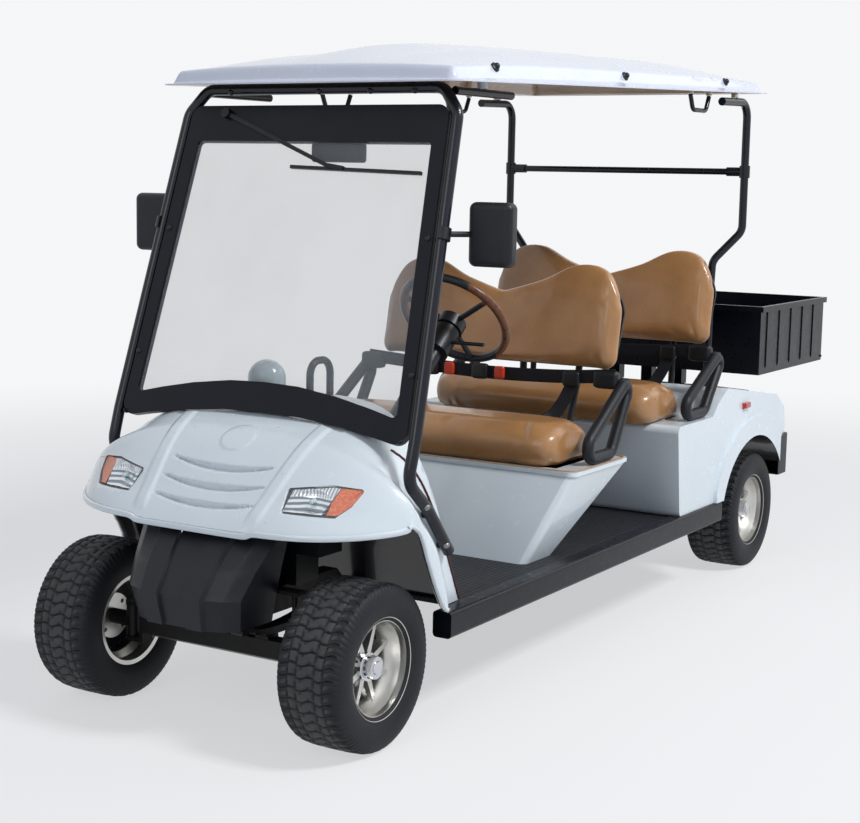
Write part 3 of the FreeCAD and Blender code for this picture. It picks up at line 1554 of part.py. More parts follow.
def make_rear_bumper():
    """Moulded bumper, open to the front, with slots where the chassis rails pass through."""
    high = tail_low_z - seat_gap
    depth = rear_bumper_rear_x
    outer = Part.Face(level_outline(rear_bumper_front_x, depth, rear_bumper_half, rear_bumper_low,
                                    rear_bumper_corner)).extrude(upward * (high - rear_bumper_low))
    outer = outer.fuse(box(rear_bumper_front_x, rear_bumper_front_x - rear_bumper_corner, -rear_bumper_half,
                           rear_bumper_half, rear_bumper_low, high)).removeSplitter()
    inner = Part.Face(level_outline(rear_bumper_front_x + overrun * 2, depth + shell_wall, rear_bumper_half - shell_wall,
                                    rear_bumper_low + shell_wall, rear_bumper_corner - shell_wall))
    shell = outer.cut(inner.extrude(upward * (high - rear_bumper_low - 2 * shell_wall)))
    for side in (1, -1):
        y = side * chassis_rail_half
        slot = rail_width / 2 + rail_slot_gap
        slot_height = rail_height / 2 + rail_slot_gap
        shell = shell.cut(box(depth - overrun, rear_bumper_front_x + overrun, y - slot, y + slot,
                              chassis_rear_rise - slot_height, chassis_rear_rise + slot_height))
    return shell


# Lamps of the rear body

tail_lamp_radius = 34.0
tail_lamp_inset = 105.0
tail_lamp_y = body_half_width - tail_lamp_inset
tail_lamp_z = 556.0
tail_lamp_out = 16.0
marker_x = rear_axle_x + 149.0
marker_z = 664.0
marker_length = 62.0
marker_height = 24.0
marker_out = 9.0


def make_tail_lamps():
    points = [V(x, -rear_body_half, z) for x, z in rear_profile]
    body = Part.Face(outline(points, rear_body_corner)).makeOffset2D(seat_gap).extrude(across * 2 * rear_body_half)
    lamps = []
    for side in (1, -1):
        y = side * tail_lamp_y
        lamp = rod(V(rear_body_rear_x + overrun * 2, y, tail_lamp_z), V(rear_body_rear_x - tail_lamp_out, y, tail_lamp_z),
                   tail_lamp_radius)
        lamps.append(lamp.cut(body))
    return lamps


def make_markers():
    y0 = rear_body_half + seat_gap
    block = box(marker_x - marker_length / 2, marker_x + marker_length / 2, y0, y0 + marker_out,
                marker_z - marker_height / 2, marker_z + marker_height / 2)
    block = softened(block, marker_out / 2, lambda edge: edge.BoundBox.YMin > y0 + marker_out / 2)
    return both_sides(block)


# Ribbed mat on the rear body's sloping deck

mat_front_x = rear_axle_x + 168.0
mat_rear_x = rear_axle_x - 185.0
mat_inset = 130.0
mat_half = body_half_width - mat_inset
mat_thickness = 6.0


def make_deck_mat():
    low = seat_gap
    high = seat_gap + mat_thickness
    points = [V(mat_front_x, -mat_half, deck_top(mat_front_x) + low), V(mat_rear_x, -mat_half, deck_top(mat_rear_x) + low),
              V(mat_rear_x, -mat_half, deck_top(mat_rear_x) + high), V(mat_front_x, -mat_half, deck_top(mat_front_x) + high)]
    return prism(points, across * 2 * mat_half)


# Mirrors

mirror_z = 1363.0
mirror_inset = 30.0
mirror_inner = body_half_width - mirror_inset
mirror_width = 134.0
mirror_outer = mirror_inner + mirror_width
mirror_height = 176.0
mirror_depth = 56.0
mirror_x = -402.0
mirror_corner = 20.0
mirror_arm_radius = 8.0
mirror_ring = 7.0
mirror_ring_length = 34.0
mirror_foot_thickness = 4.0
cabin_mirror_y = 58.0
cabin_mirror_half = 93.0
cabin_mirror_z = 1580.0
cabin_mirror_height = 56.0
cabin_mirror_depth = 22.0
cabin_mirror_behind = 62.0
cabin_stem_z = 1655.0


def make_side_mirrors():
    low = hoop_points(1)[2]
    high = hoop_points(1)[1]
    grip = low + (high - low) * ((mirror_z - low.z) / (high.z - low.z))
    heading = (high - low).normalize()
    start = grip - heading * (mirror_ring_length / 2)
    bore_radius = hoop_tube_radius + seat_gap
    ring = Part.makeCylinder(bore_radius + mirror_ring, mirror_ring_length, start, heading)
    bore = Part.makeCylinder(bore_radius, mirror_ring_length * 2, start - heading * overrun, heading)
    housing = box(mirror_x - mirror_depth / 2, mirror_x + mirror_depth / 2, mirror_inner, mirror_outer,
                  mirror_z - mirror_height / 2, mirror_z + mirror_height / 2)
    housing = softened(housing, mirror_corner)
    reach = mirror_outer - mirror_inner
    ring = ring.common(box(grip.x - reach, grip.x + reach, grip.y, grip.y + reach, grip.z - reach, grip.z + reach))
    arm = rod(grip, V(mirror_x, mirror_inner + overrun, mirror_z), mirror_arm_radius)
    return both_sides(fused([ring, housing, arm]).cut(bore))


def make_cabin_mirror():
    x = on_screen(0, cabin_mirror_z).x - cabin_mirror_behind
    body = softened(box(x - cabin_mirror_depth / 2, x + cabin_mirror_depth / 2, cabin_mirror_y - cabin_mirror_half,
                        cabin_mirror_y + cabin_mirror_half, cabin_mirror_z - cabin_mirror_height / 2,
                        cabin_mirror_z + cabin_mirror_height / 2), cabin_mirror_depth / 2.4)
    stem_end = on_screen(cabin_mirror_y, cabin_stem_z, -frame_thickness / 2 - mirror_arm_radius)
    stem = rod(V(x, cabin_mirror_y, cabin_mirror_z), stem_end, mirror_arm_radius * 0.7)
    slope = math.radians(screen_angle)
    foot_off = -frame_thickness / 2 - seat_gap - mirror_foot_thickness
    foot = Part.makeCylinder(mirror_arm_radius * 2, mirror_foot_thickness,
                             on_screen(cabin_mirror_y, cabin_stem_z, foot_off), V(math.cos(slope), 0, math.sin(slope)))
    return fused([body, stem, foot])


# Wiper: an arm from the header with its blade just off the glass

wiper_y = -315.0
wiper_z = 1686.0
wiper_elbow_y = 80.0
wiper_elbow_z = 1538.0
blade_left_y = 398.0
blade_right_y = -47.0
blade_left_z = 1521.0
blade_right_z = 1533.0
wiper_clearance = 5.0
wiper_hub_rise = 6.0
carrier_length = 60.0
blade_off = glass_thickness / 2 + wiper_clearance
blade_depth = 12.0
blade_height = 9.0
wiper_arm_off = frame_thickness / 2 + wiper_clearance
wiper_arm_width = 12.0
wiper_arm_depth = 6.0
wiper_hub_radius = 15.0


def make_wiper():
    def bar(y0, z0, y1, z1, width, off, depth):
        heading = on_screen(y1, z1) - on_screen(y0, z0)
        heading.normalize()
        slope = math.radians(screen_angle)
        normal = V(math.cos(slope), 0, math.sin(slope))
        side = heading.cross(normal) * (width / 2)
        start = on_screen(y0, z0, off)
        end = on_screen(y1, z1, off)
        return prism([start + side, end + side, end - side, start - side], normal * depth)
    slope = math.radians(screen_angle)
    normal = V(math.cos(slope), 0, math.sin(slope))
    foot_off = frame_thickness / 2 + seat_gap
    hub = Part.makeCylinder(wiper_hub_radius, wiper_arm_off + wiper_arm_depth - foot_off + wiper_hub_rise,
                            on_screen(wiper_y, wiper_z, foot_off), normal)
    arm = bar(wiper_y, wiper_z, wiper_elbow_y, wiper_elbow_z, wiper_arm_width, wiper_arm_off, wiper_arm_depth)
    elbow_share = (wiper_elbow_y - blade_right_y) / (blade_left_y - blade_right_y)
    blade_z = blade_right_z + (blade_left_z - blade_right_z) * elbow_share
    carrier = bar(wiper_elbow_y, wiper_elbow_z, wiper_elbow_y + carrier_length, blade_z, wiper_arm_width, blade_off,
                  wiper_arm_off + wiper_arm_depth - blade_off)
    blade = bar(blade_right_y, blade_right_z, blade_left_y, blade_left_z, blade_height, blade_off, blade_depth)
    return fused([hub, arm, carrier, blade])


# Pedals on the toe board

pedal_places = [(110.0, 62.0, 90.0), (215.0, 80.0, 70.0)]
pedal_z = 455.0
pedal_reach = 95.0
pedal_thickness = 12.0
pedal_stem_radius = 8.0


def make_pedals():
    toe_angle = math.atan((trim_bottom_back - trim_top_back) / (cowl_top - panel_bottom))
    normal = V(-math.cos(toe_angle), 0, math.sin(toe_angle))
    pedals = []
    for y, width, height in pedal_places:
        foot = V(trim_x(pedal_z) + toe_gap, y, pedal_z) + normal * seat_gap
        plate = box(0, pedal_thickness, -width / 2, width / 2, -height / 2, height / 2)
        plate = softened(plate, pedal_thickness / 3)
        plate.rotate(V(0, 0, 0), across, math.degrees(toe_angle))
        plate.translate(foot + normal * pedal_reach)
        stem = Part.makeCylinder(pedal_stem_radius, pedal_reach, foot, normal)
        base = Part.makeCylinder(pedal_stem_radius * 2, pedal_thickness / 2, foot, normal)
        pedals.append(fused([base, stem, plate]))
    return pedals


# Dome and grab loop on the dash

fitting_sink = 20.0
crown_reach = 0.45
dash_loop_y = 60.0
dash_loop_front_x = -305.0
dash_loop_rear_x = -405.0
dash_loop_top = 985.0
dash_loop_bend = 42.0


def make_dome():
    low = cowl_top - fitting_sink
    middle = cowl_top + dome_rise - dome_radius
    ball = Part.makeSphere(dome_radius, V(dome_x, dome_y, middle))
    stand = Part.makeCylinder(dome_radius, middle - low, V(dome_x, dome_y, low))
    return ball.fuse(stand).removeSplitter().cut(cowl_block(fitting_sink * 4, seat_gap, crown_reach))


def make_dash_loop():
    y = dash_loop_y
    low = cowl_top - fitting_sink
    loop = tube([V(dash_loop_front_x, y, low), V(dash_loop_front_x, y, dash_loop_top),
                 V(dash_loop_rear_x, y, dash_loop_top), V(dash_loop_rear_x, y, low)], dash_loop_radius, dash_loop_bend)
    return loop.cut(cowl_block(fitting_sink * 4, seat_gap, crown_reach))


save("front_cowl", make_cowl())
save("headlamps", make_headlamps())
for name, make in (("windscreen_frame", make_screen_frame), ("windscreen_glass", make_glass),
                   ("front_roof_hoop", make_front_hoop)):
    save(name, make())
save("roof_rails", make_rails())
save("roof_grab_loops", make_roof_loops())
save("roof", make_roof())
save("chassis_frame", make_chassis())
save("sills", make_sills())
save("floor_pan", make_floor())
save("dashboard", make_dashboard())
for name, row in rows.items():
    save(name + "_seat_cushion", make_cushion(row))
    save(name + "_backrest", make_backrest(row))
save("seat_hinges", [pin for row in rows.values() for pin in make_seat_hinges(row)])
save("seat_frames", [make_seat_frame(row) for row in rows.values()])
save("armrests", [arm for row in rows.values() for arm in make_armrests(row)])
save("rear_roof_hoop", make_rear_hoop())
save("rear_body", make_rear_body())
save("front_seat_pedestal", make_pedestal())
save("battery_pack", make_battery())
save("front_axle", make_front_axle())
save("rear_axle", make_rear_axle())
save("leaf_springs", [make_spring(data, side)[0] for data in spring_sets.values() for side in (1, -1)])
save("dampers", make_dampers())
save("tie_rod", make_tie_rod())
save("front_bumper", make_bumper())
save("steering_wheel", make_steering_wheel())
save("steering_column", make_column())
save("cargo_box", make_cargo_box())
save("tailgate", make_tailgate())
save("cargo_supports", make_cargo_support())
save("rear_bumper", make_rear_bumper())
save("rear_lamps", make_tail_lamps() + make_markers())
save("deck_mat", make_deck_mat())
save("mirrors", make_side_mirrors() + [make_cabin_mirror()])
save("wiper", make_wiper())
save("pedals", make_pedals())
save("dash_dome", make_dome())
save("dash_grab_loop", make_dash_loop())
for label, x, half in (("front", 0.0, front_half_track), ("rear", rear_axle_x, rear_half_track)):
    for hand, side in (("left", 1), ("right", -1)):
        centre = V(x, side * half, wheel_radius)
        save(label + "_" + hand + "_tyre", make_tyre(centre, side))
        save(label + "_" + hand + "_rim", make_rim(centre, side))
for hand, side in (("left", 1), ("right", -1)):
    save(hand + "_knuckle", make_knuckle(side))
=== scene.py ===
import math
import bmesh
import bpy
import numpy as np
from mathutils import Matrix, Vector
from mathutils.bvhtree import BVHTree


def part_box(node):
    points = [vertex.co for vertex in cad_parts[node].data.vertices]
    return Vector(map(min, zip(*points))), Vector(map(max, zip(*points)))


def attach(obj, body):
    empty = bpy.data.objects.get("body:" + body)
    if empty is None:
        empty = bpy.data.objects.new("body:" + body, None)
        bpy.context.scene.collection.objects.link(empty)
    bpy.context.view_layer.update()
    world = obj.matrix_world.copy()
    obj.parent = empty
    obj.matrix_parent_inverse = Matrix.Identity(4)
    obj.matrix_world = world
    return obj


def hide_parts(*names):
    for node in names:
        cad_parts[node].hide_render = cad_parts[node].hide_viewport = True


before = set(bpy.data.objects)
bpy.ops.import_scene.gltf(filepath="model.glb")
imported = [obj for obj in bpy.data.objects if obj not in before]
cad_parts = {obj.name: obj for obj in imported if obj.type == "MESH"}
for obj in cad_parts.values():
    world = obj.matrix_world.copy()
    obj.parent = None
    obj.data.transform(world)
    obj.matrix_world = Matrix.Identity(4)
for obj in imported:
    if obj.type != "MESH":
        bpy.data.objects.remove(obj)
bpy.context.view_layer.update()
axleShift = 1.5775                      # the front axle's x in the shared frame
print("frame loaded:", len(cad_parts), "nodes")


# Camera: place and angles worked out from the wheels, the screen and the roof in the photograph

cameraView = {
    "place": (3.5769, 2.8445, 1.5225),  # from the front axle's middle on the ground
    "yaw": 3.6917, "pitch": -0.14, "roll": 0.0184,
    "focalPx": 1671.05, "middlePx": (429.29, 410.02), "imagePx": (860, 823), "sensorMm": 36.0,
}


# direction ahead = (cos pitch cos yaw, cos pitch sin yaw, sin pitch); side and top are then rolled about it
def makeCamera(view):
    yaw, pitch, roll = view["yaw"], view["pitch"], view["roll"]
    ahead = Vector((math.cos(pitch) * math.cos(yaw), math.cos(pitch) * math.sin(yaw), math.sin(pitch)))
    right = ahead.cross(Vector((0, 0, 1))).normalized()
    over = right.cross(ahead)
    rightRolled = right * math.cos(roll) + over * math.sin(roll)
    overRolled = over * math.cos(roll) - right * math.sin(roll)
    data = bpy.data.cameras.new("camera")
    data.sensor_width = view["sensorMm"]
    data.sensor_fit = "HORIZONTAL"
    data.lens = view["focalPx"] / view["imagePx"][0] * view["sensorMm"]
    data.shift_x = (view["imagePx"][0] / 2 - view["middlePx"][0]) / view["imagePx"][0]
    data.shift_y = (view["middlePx"][1] - view["imagePx"][1] / 2) / view["imagePx"][0]
    camera = bpy.data.objects.new("camera", data)
    turn = Matrix((rightRolled, overRolled, -ahead)).transposed().to_4x4()
    place = Vector(view["place"]) + Vector((axleShift, 0, 0))
    camera.matrix_world = Matrix.Translation(place) @ turn
    bpy.context.scene.collection.objects.link(camera)
    bpy.context.scene.camera = camera


makeCamera(cameraView)
bpy.context.scene.view_settings.view_transform = "Standard"


# Shader maths as Python expressions: operators on a socket add Math nodes to its tree

class Socket:

    def __init__(self, tree, socket):
        self.tree = tree
        self.socket = socket

    # any node: its settings first, then the values or links of its inputs
    def node(self, kind, settings=None, inputs=None, output=0):
        made = self.tree.nodes.new(kind)
        for name, value in (settings or {}).items():
            setattr(made, name, value)
        for name, value in (inputs or {}).items():
            slot = made.inputs[name]
            if isinstance(value, Socket):
                self.tree.links.new(value.socket, slot)
            else:
                slot.default_value = value
        return Socket(self.tree, made.outputs[output])

    def maths(self, operation, first, second=0.0):
        return self.node("ShaderNodeMath", {"operation": operation}, {0: first, 1: second})

    def __add__(self, other):
        return self.maths("ADD", self, other)

    def __radd__(self, other):
        return self.maths("ADD", other, self)

    def __sub__(self, other):
        return self.maths("SUBTRACT", self, other)

    def __rsub__(self, other):
        return self.maths("SUBTRACT", other, self)

    def __mul__(self, other):
        return self.maths("MULTIPLY", self, other)

    def __rmul__(self, other):
        return self.maths("MULTIPLY", other, self)

    def __truediv__(self, other):
        return self.maths("DIVIDE", self, other)

    def __pow__(self, other):
        return self.maths("POWER", self, other)

    def __abs__(self):
        return self.maths("ABSOLUTE", self)

    # 0 below low and 1 above high, smoothly
    def ramp(self, low, high):
        return self.node("ShaderNodeMapRange", {"interpolation_type": "SMOOTHSTEP"},
                         {"Value": self, "From Min": low, "From Max": high})

    # colour first where this is 0 and second where it is 1
    def mix(self, first, second):
        made = self.tree.nodes.new("ShaderNodeMix")
        made.data_type = "RGBA"
        self.tree.links.new(self.socket, made.inputs[0])
        for value, slot in ((first, made.inputs[6]), (second, made.inputs[7])):
            if isinstance(value, Socket):
                self.tree.links.new(value.socket, slot)
            else:
                slot.default_value = (*value[:3], 1.0)
        return Socket(self.tree, made.outputs[2])

    def axes(self):
        split = self.tree.nodes.new("ShaderNodeSeparateXYZ")
        self.tree.links.new(self.socket, split.inputs[0])
        return [Socket(self.tree, split.outputs[k]) for k in range(3)]

    def dot(self, vector):
        return self.node("ShaderNodeVectorMath", {"operation": "DOT_PRODUCT"}, {0: self, 1: vector}, "Value")


def startMaterial(name):
    material = bpy.data.materials.new(name)
    material.use_nodes = True
    material.node_tree.nodes.clear()
    coordinates = material.node_tree.nodes.new("ShaderNodeTexCoord")
    return material, Socket(material.node_tree, coordinates.outputs["Object"])


def noise(place, scale, detail=2.0, roughness=0.5):
    return place.node("ShaderNodeTexNoise", {}, {"Vector": place, "Scale": scale, "Detail": detail,
                                                 "Roughness": roughness})


def cells(place, scale):
    return place.node("ShaderNodeTexVoronoi", {}, {"Vector": place, "Scale": scale})


def bump(place, height, distance):
    return place.node("ShaderNodeBump", {}, {"Height": height, "Distance": distance, "Strength": 1.0})


# Principled surface with constant sockets and linked ones
def closeMaterial(material, place, constants, linked):
    surface = place.node("ShaderNodeBsdfPrincipled", {}, {})
    shader = surface.socket.node
    for name, value in constants.items():
        shader.inputs[name].default_value = value
    for name, value in linked.items():
        material.node_tree.links.new(value.socket, shader.inputs[name])
    end = material.node_tree.nodes.new("ShaderNodeOutputMaterial")
    material.node_tree.links.new(surface.socket, end.inputs["Surface"])
    return material


# 1 where the surface faces away from a line that runs across inside the shell, 0 on its inner faces
def outerSide(place, middle):
    away = place.node("ShaderNodeVectorMath", {"operation": "SUBTRACT"}, {0: place, 1: middle}, "Vector")
    facing = place.node("ShaderNodeNewGeometry", {}, {}, "Normal")
    return away.dot(facing)


paints = {
    # colour, darker colour of the mottling, roughness, its spread, coat, peel height in metres, mirror level
    "tubeBlack": ((0.004, 0.006, 0.012), (0.007, 0.009, 0.017), 0.22, 0.06, 0.1, 0.00002, 0.3),
    "steelBlack": ((0.003, 0.004, 0.007), (0.006, 0.007, 0.012), 0.30, 0.10, 0.0, 0.00004, 0.2),
    "chassisBlack": ((0.005, 0.005, 0.006), (0.011, 0.011, 0.011), 0.5, 0.15, 0.0, 0.0001, 0.2),
    "lampRed": ((0.45, 0.012, 0.015), (0.34, 0.008, 0.01), 0.12, 0.04, 0.6, 0.00001, 0.5),
    "maroonTrim": ((0.075, 0.012, 0.012), (0.05, 0.008, 0.009), 0.4, 0.1, 0.0, 0.00004, 0.3),
    "tanTrim": ((0.42, 0.28, 0.17), (0.36, 0.23, 0.14), 0.42, 0.1, 0.0, 0.00004, 0.4),
    "domeWhite": ((0.55, 0.66, 0.68), (0.49, 0.60, 0.63), 0.22, 0.05, 0.5, 0.00001, 0.5),
    "buckleRed": ((0.62, 0.05, 0.012), (0.5, 0.035, 0.01), 0.3, 0.08, 0.0, 0.00002, 0.4),
}


# Paint with a faint mottling and the fine unevenness of a sprayed coat
def paintMaterial(name, colour, darker, roughness, spread, coat, peel, mirror):
    material, place = startMaterial(name)
    mottle = noise(place, 3.0, 4.0, 0.6).ramp(0.3, 0.75)
    fine = noise(place, 38.0, 3.0)
    return closeMaterial(material, place,
                         {"Coat Weight": coat, "Coat Roughness": 0.06, "Specular IOR Level": mirror},
                         {"Base Color": mottle.mix(colour, darker),
                          "Roughness": roughness + (fine - 0.5) * (2 * spread),
                          "Normal": bump(place, fine, peel)})


shellPaint = {
    "white": (0.70, 0.77, 0.82), "shade": (0.66, 0.735, 0.785), "inside": (0.012, 0.013, 0.017),
    "roof": (0.60, 0.64, 0.75), "roofShade": (0.56, 0.60, 0.71), "roofInside": (0.50, 0.37, 0.26),
    # a point inside each moulding, which its outer faces look away from
    "middles": {"cowlWhite": (1.40, 0.0, 0.50), "bodyWhite": (-1.05, 0.0, 0.45),
                "pedestalWhite": (0.35, 0.0, 0.45), "dashWhite": (4.0, 0.0, 0.3)},
    "roofMiddle": (0.0, 0.0, -30.0),
}


# Glossy moulding, white outside and another colour on its inner faces
def shellMaterial(name, outside, shade, inside, middle):
    material, place = startMaterial(name)
    mottle = noise(place, 2.5, 4.0, 0.6).ramp(0.3, 0.75)
    fine = noise(place, 30.0, 3.0)
    outer = outerSide(place, middle).ramp(-0.002, 0.002)
    return closeMaterial(material, place,
                         {"Coat Weight": 0.5, "Coat Roughness": 0.05},
                         {"Base Color": outer.mix(inside, mottle.mix(outside, shade)),
                          "Roughness": 0.26 + (fine - 0.5) * 0.08,
                          "Normal": bump(place, fine, 0.00002)})


plastics = {
    # colour, paler colour of worn patches, roughness, pebbles per metre, their depth, mirror level
    "charcoal": ((0.006, 0.007, 0.011), (0.011, 0.013, 0.019), 0.36, 700.0, 0.0002, 0.3),
    "frameBlack": ((0.003, 0.0045, 0.010), (0.006, 0.008, 0.015), 0.26, 900.0, 0.00005, 0.2),
    "blackPlastic": ((0.005, 0.006, 0.008), (0.011, 0.012, 0.016), 0.3, 900.0, 0.0001, 0.3),
    "strapBlack": ((0.006, 0.007, 0.010), (0.012, 0.013, 0.017), 0.6, 1200.0, 0.0002, 0.2),
}


def grainMaterial(name, colour, worn, roughness, scale, depth, mirror):
    # moulded plastic with a pebbled grain, a little paler on wide patches
    material, place = startMaterial(name)
    pebbles = cells(place, scale)
    patch = noise(place, 5.0, 5.0, 0.65).ramp(0.35, 0.8)
    return closeMaterial(material, place, {"Specular IOR Level": mirror},
                         {"Base Color": patch.mix(colour, worn),
                          "Roughness": roughness + noise(place, 30.0) * 0.12,
                          "Normal": bump(place, pebbles, depth)})


def vinylMaterial(name, colour, darker):
    # glossy upholstery: fine leather grain, soft creases and slow colour changes
    material, place = startMaterial(name)
    grain = cells(place, 700.0)
    crease = noise(place, 22.0, 3.0, 0.55)
    height = grain * 0.0001 + crease * 0.0012
    patch = noise(place, 7.0, 4.0, 0.6).ramp(0.3, 0.75)
    return closeMaterial(material, place, {"Coat Weight": 0.35, "Coat Roughness": 0.1},
                         {"Base Color": patch.mix(colour, darker),
                          "Roughness": 0.24 + noise(place, 60.0) * 0.12,
                          "Normal": bump(place, height, 1.0)})


metals = {
    # colour, lowest roughness and how much the streaks add to it
    "aluminium": ((0.66, 0.655, 0.63), 0.24, 0.12),
    "chrome": ((0.62, 0.64, 0.68), 0.08, 0.08),
    "mirrorGlass": ((0.75, 0.78, 0.80), 0.01, 0.01),
    "steelBare": ((0.26, 0.255, 0.25), 0.32, 0.2),
}


# Bare metal with fine streaks in its roughness and duller patches
def metalMaterial(name, colour, roughness, spread):
    material, place = startMaterial(name)
    streak = noise(place, 60.0, 4.0, 0.6)
    dull = tuple(0.86 * c for c in colour)
    return closeMaterial(material, place, {"Metallic": 1.0},
                         {"Base Color": noise(place, 12.0, 3.0).ramp(0.3, 0.8).mix(colour, dull),
                          "Roughness": roughness + streak * spread,
                          "Normal": bump(place, streak, 0.00004)})


def rubberMaterial(name):
    # tyre rubber, dusty in patches and paler where the tread is worn
    material, place = startMaterial(name)
    dust = noise(place, 9.0, 6.0, 0.7).ramp(0.45, 0.8)
    fine = noise(place, 300.0, 3.0)
    worn = place.node("ShaderNodeAttribute", {"attribute_name": "worn"}, {}, "Fac")
    wall = (dust * 0.4).mix((0.007, 0.008, 0.011), (0.03, 0.028, 0.026))
    tread = dust.mix((0.045, 0.047, 0.050), (0.075, 0.072, 0.068))
    return closeMaterial(material, place, {"Specular IOR Level": 0.3},
                         {"Base Color": worn.mix(wall, tread),
                          "Roughness": 0.5 + fine * 0.2,
                          "Normal": bump(place, fine, 0.00015)})


def matMaterial(name):
    # ribbed rubber mat: fine ribs along the cart
    material, place = startMaterial(name)
    ribs = place.node("ShaderNodeTexWave", {"bands_direction": "Y", "wave_profile": "SIN"},
                      {"Vector": place, "Scale": 18.0})
    dust = noise(place, 6.0, 6.0, 0.7).ramp(0.4, 0.8)
    return closeMaterial(material, place, {"Specular IOR Level": 0.25},
                         {"Base Color": (dust * 0.4).mix((0.012, 0.014, 0.018), (0.04, 0.04, 0.04)),
                          "Roughness": 0.42 + noise(place, 60.0) * 0.2,
                          "Normal": bump(place, ribs, 0.0016)})


def glassMaterial(name, colour, alpha, roughness):
    # thin clear sheet: mostly see-through, with sharp reflections and a faint haze
    material, place = startMaterial(name)
    haze = noise(place, 4.0, 4.0).ramp(0.4, 0.8)
    return closeMaterial(material, place, {"IOR": 1.45},
                         {"Base Color": haze.mix(colour, tuple(0.9 * c for c in colour)),
                          "Roughness": roughness + haze * 0.03,
                          "Alpha": alpha + haze * 0.02})


def reflectorMaterial(name):
    # bright pressed reflector: upright flutes above, a waved bowl below; the pale stripes along the flutes
    # and waves are painted highlights, and the darker colour between them and over the lower bowl is painted
    # shade
    material, place = startMaterial(name)
    x, y, z = place.axes()
    across = abs(y) * 700.0
    flutes = across.maths("SINE", across) * 0.5 + 0.5
    level = z * 520.0 + noise(place, 14.0) * 5.0
    waves = level.maths("SINE", level) * 0.5 + 0.5
    upper = z.ramp(0.672, 0.678)
    pattern = flutes * upper + waves * (1.0 - upper)
    # painted shade: darker between the stripes and darker still over the lower bowl; the pale stripe colour
    # is a painted highlight
    shade = upper.mix((0.18, 0.22, 0.26), (0.34, 0.38, 0.42))
    return closeMaterial(material, place, {"Metallic": 0.7},
                         {"Base Color": pattern.ramp(0.25, 0.8).mix(shade, (0.84, 0.88, 0.92)),
                          "Roughness": 0.10 + flutes * 0.06,
                          "Normal": bump(place, pattern, 0.0005)})


def amberMaterial(name):
    # orange lens with small facets whose lighter middles are painted glints
    material, place = startMaterial(name)
    facets = cells(place, 160.0).ramp(0.1, 0.6)
    return closeMaterial(material, place, {"Coat Weight": 1.0, "Coat Roughness": 0.03},
                         # painted highlights: each facet lighter in its middle and deeper orange towards its
                         # edge
                         {"Base Color": facets.mix((0.95, 0.26, 0.004), (0.72, 0.09, 0.002)),
                          "Roughness": 0.14 + facets * 0.06,
                          "Normal": bump(place, facets, 0.0004)})


wheelLook = {
    "middle": (-0.790 + axleShift, 0.250, 1.090), "ringHalf": 0.15, "woodFrom": 0.105, "woodEdge": 0.002,
    "wood": (0.16, 0.055, 0.02), "woodDark": (0.07, 0.022, 0.01),
}


# Steering wheel: black, with wood-look grips on both sides of its ring
def gripMaterial(name):
    material, place = startMaterial(name)
    away = place.node("ShaderNodeVectorMath", {"operation": "SUBTRACT"}, {0: place, 1: wheelLook["middle"]})
    reach = away.node("ShaderNodeVectorMath", {"operation": "LENGTH"}, {0: away}, "Value")
    side = abs(away.axes()[1])
    ring, grip, soft = wheelLook["ringHalf"], wheelLook["woodFrom"], wheelLook["woodEdge"]
    wood = reach.ramp(ring, ring + soft) * side.ramp(grip - soft / 2, grip + soft / 2)
    lines = noise(place, 55.0, 6.0, 0.75).ramp(0.35, 0.7)
    dark = noise(place, 5.0).ramp(0.3, 0.8).mix((0.005, 0.006, 0.008), (0.011, 0.012, 0.016))
    return closeMaterial(material, place, {"Specular IOR Level": 0.35},
                         {"Base Color": wood.mix(dark, lines.mix(wheelLook["wood"], wheelLook["woodDark"])),
                          "Roughness": 0.38 - wood * 0.14,
                          "Normal": bump(place, noise(place, 400.0), 0.00008)})


materials = {name: paintMaterial(name, *values) for name, values in paints.items()}
for name, middle in shellPaint["middles"].items():
    materials[name] = shellMaterial(name, shellPaint["white"], shellPaint["shade"], shellPaint["inside"],
                                    middle)
materials["roofWhite"] = shellMaterial("roofWhite", shellPaint["roof"], shellPaint["roofShade"],
                                       shellPaint["roofInside"], shellPaint["roofMiddle"])
for name, values in plastics.items():
    materials[name] = grainMaterial(name, *values)
for name, values in metals.items():
    materials[name] = metalMaterial(name, *values)
materials["vinylTan"] = vinylMaterial("vinylTan", (0.42, 0.215, 0.085), (0.34, 0.165, 0.06))
materials["tyreRubber"] = rubberMaterial("tyreRubber")
materials["matBlack"] = matMaterial("matBlack")
materials["screenGlass"] = glassMaterial("screenGlass", (0.42, 0.46, 0.49), 0.2, 0.02)
materials["lampClear"] = glassMaterial("lampClear", (0.85, 0.88, 0.90), 0.10, 0.01)
materials["reflector"] = reflectorMaterial("reflector")
materials["amber"] = amberMaterial("amber")
materials["gripBlack"] = gripMaterial("gripBlack")
print("materials:", len(materials))


# CAD nodes that keep their own shape: their finish, and smooth shading between sharp edges

nodeFinish = {
    "bodyWhite": ["rear_body"],
    "pedestalWhite": ["front_seat_pedestal"],
    "dashWhite": ["dashboard"],
    "domeWhite": ["dash_dome"],
    "roofWhite": ["roof"],
    "tubeBlack": ["front_roof_hoop", "rear_roof_hoop", "roof_rails", "roof_grab_loops", "dash_grab_loop"],
    "charcoal": ["front_bumper", "rear_bumper", "mirrors", "armrests"],
    "frameBlack": ["windscreen_frame"],
    "blackPlastic": ["seat_frames", "steering_column", "wiper", "battery_pack", "pedals"],
    "gripBlack": ["steering_wheel"],
    "steelBlack": ["sills", "cargo_box", "tailgate", "cargo_supports"],
    "chassisBlack": ["chassis_frame", "front_axle", "rear_axle", "leaf_springs", "dampers", "left_knuckle",
                     "right_knuckle"],
    "steelBare": ["seat_hinges", "tie_rod"],
    "matBlack": ["floor_pan", "deck_mat"],
    "aluminium": [f"{end}_{side}_rim" for end in ("front", "rear") for side in ("left", "right")],
    "screenGlass": ["windscreen_glass"],
    "lampClear": ["headlamps"],
    "lampRed": ["rear_lamps"],
}


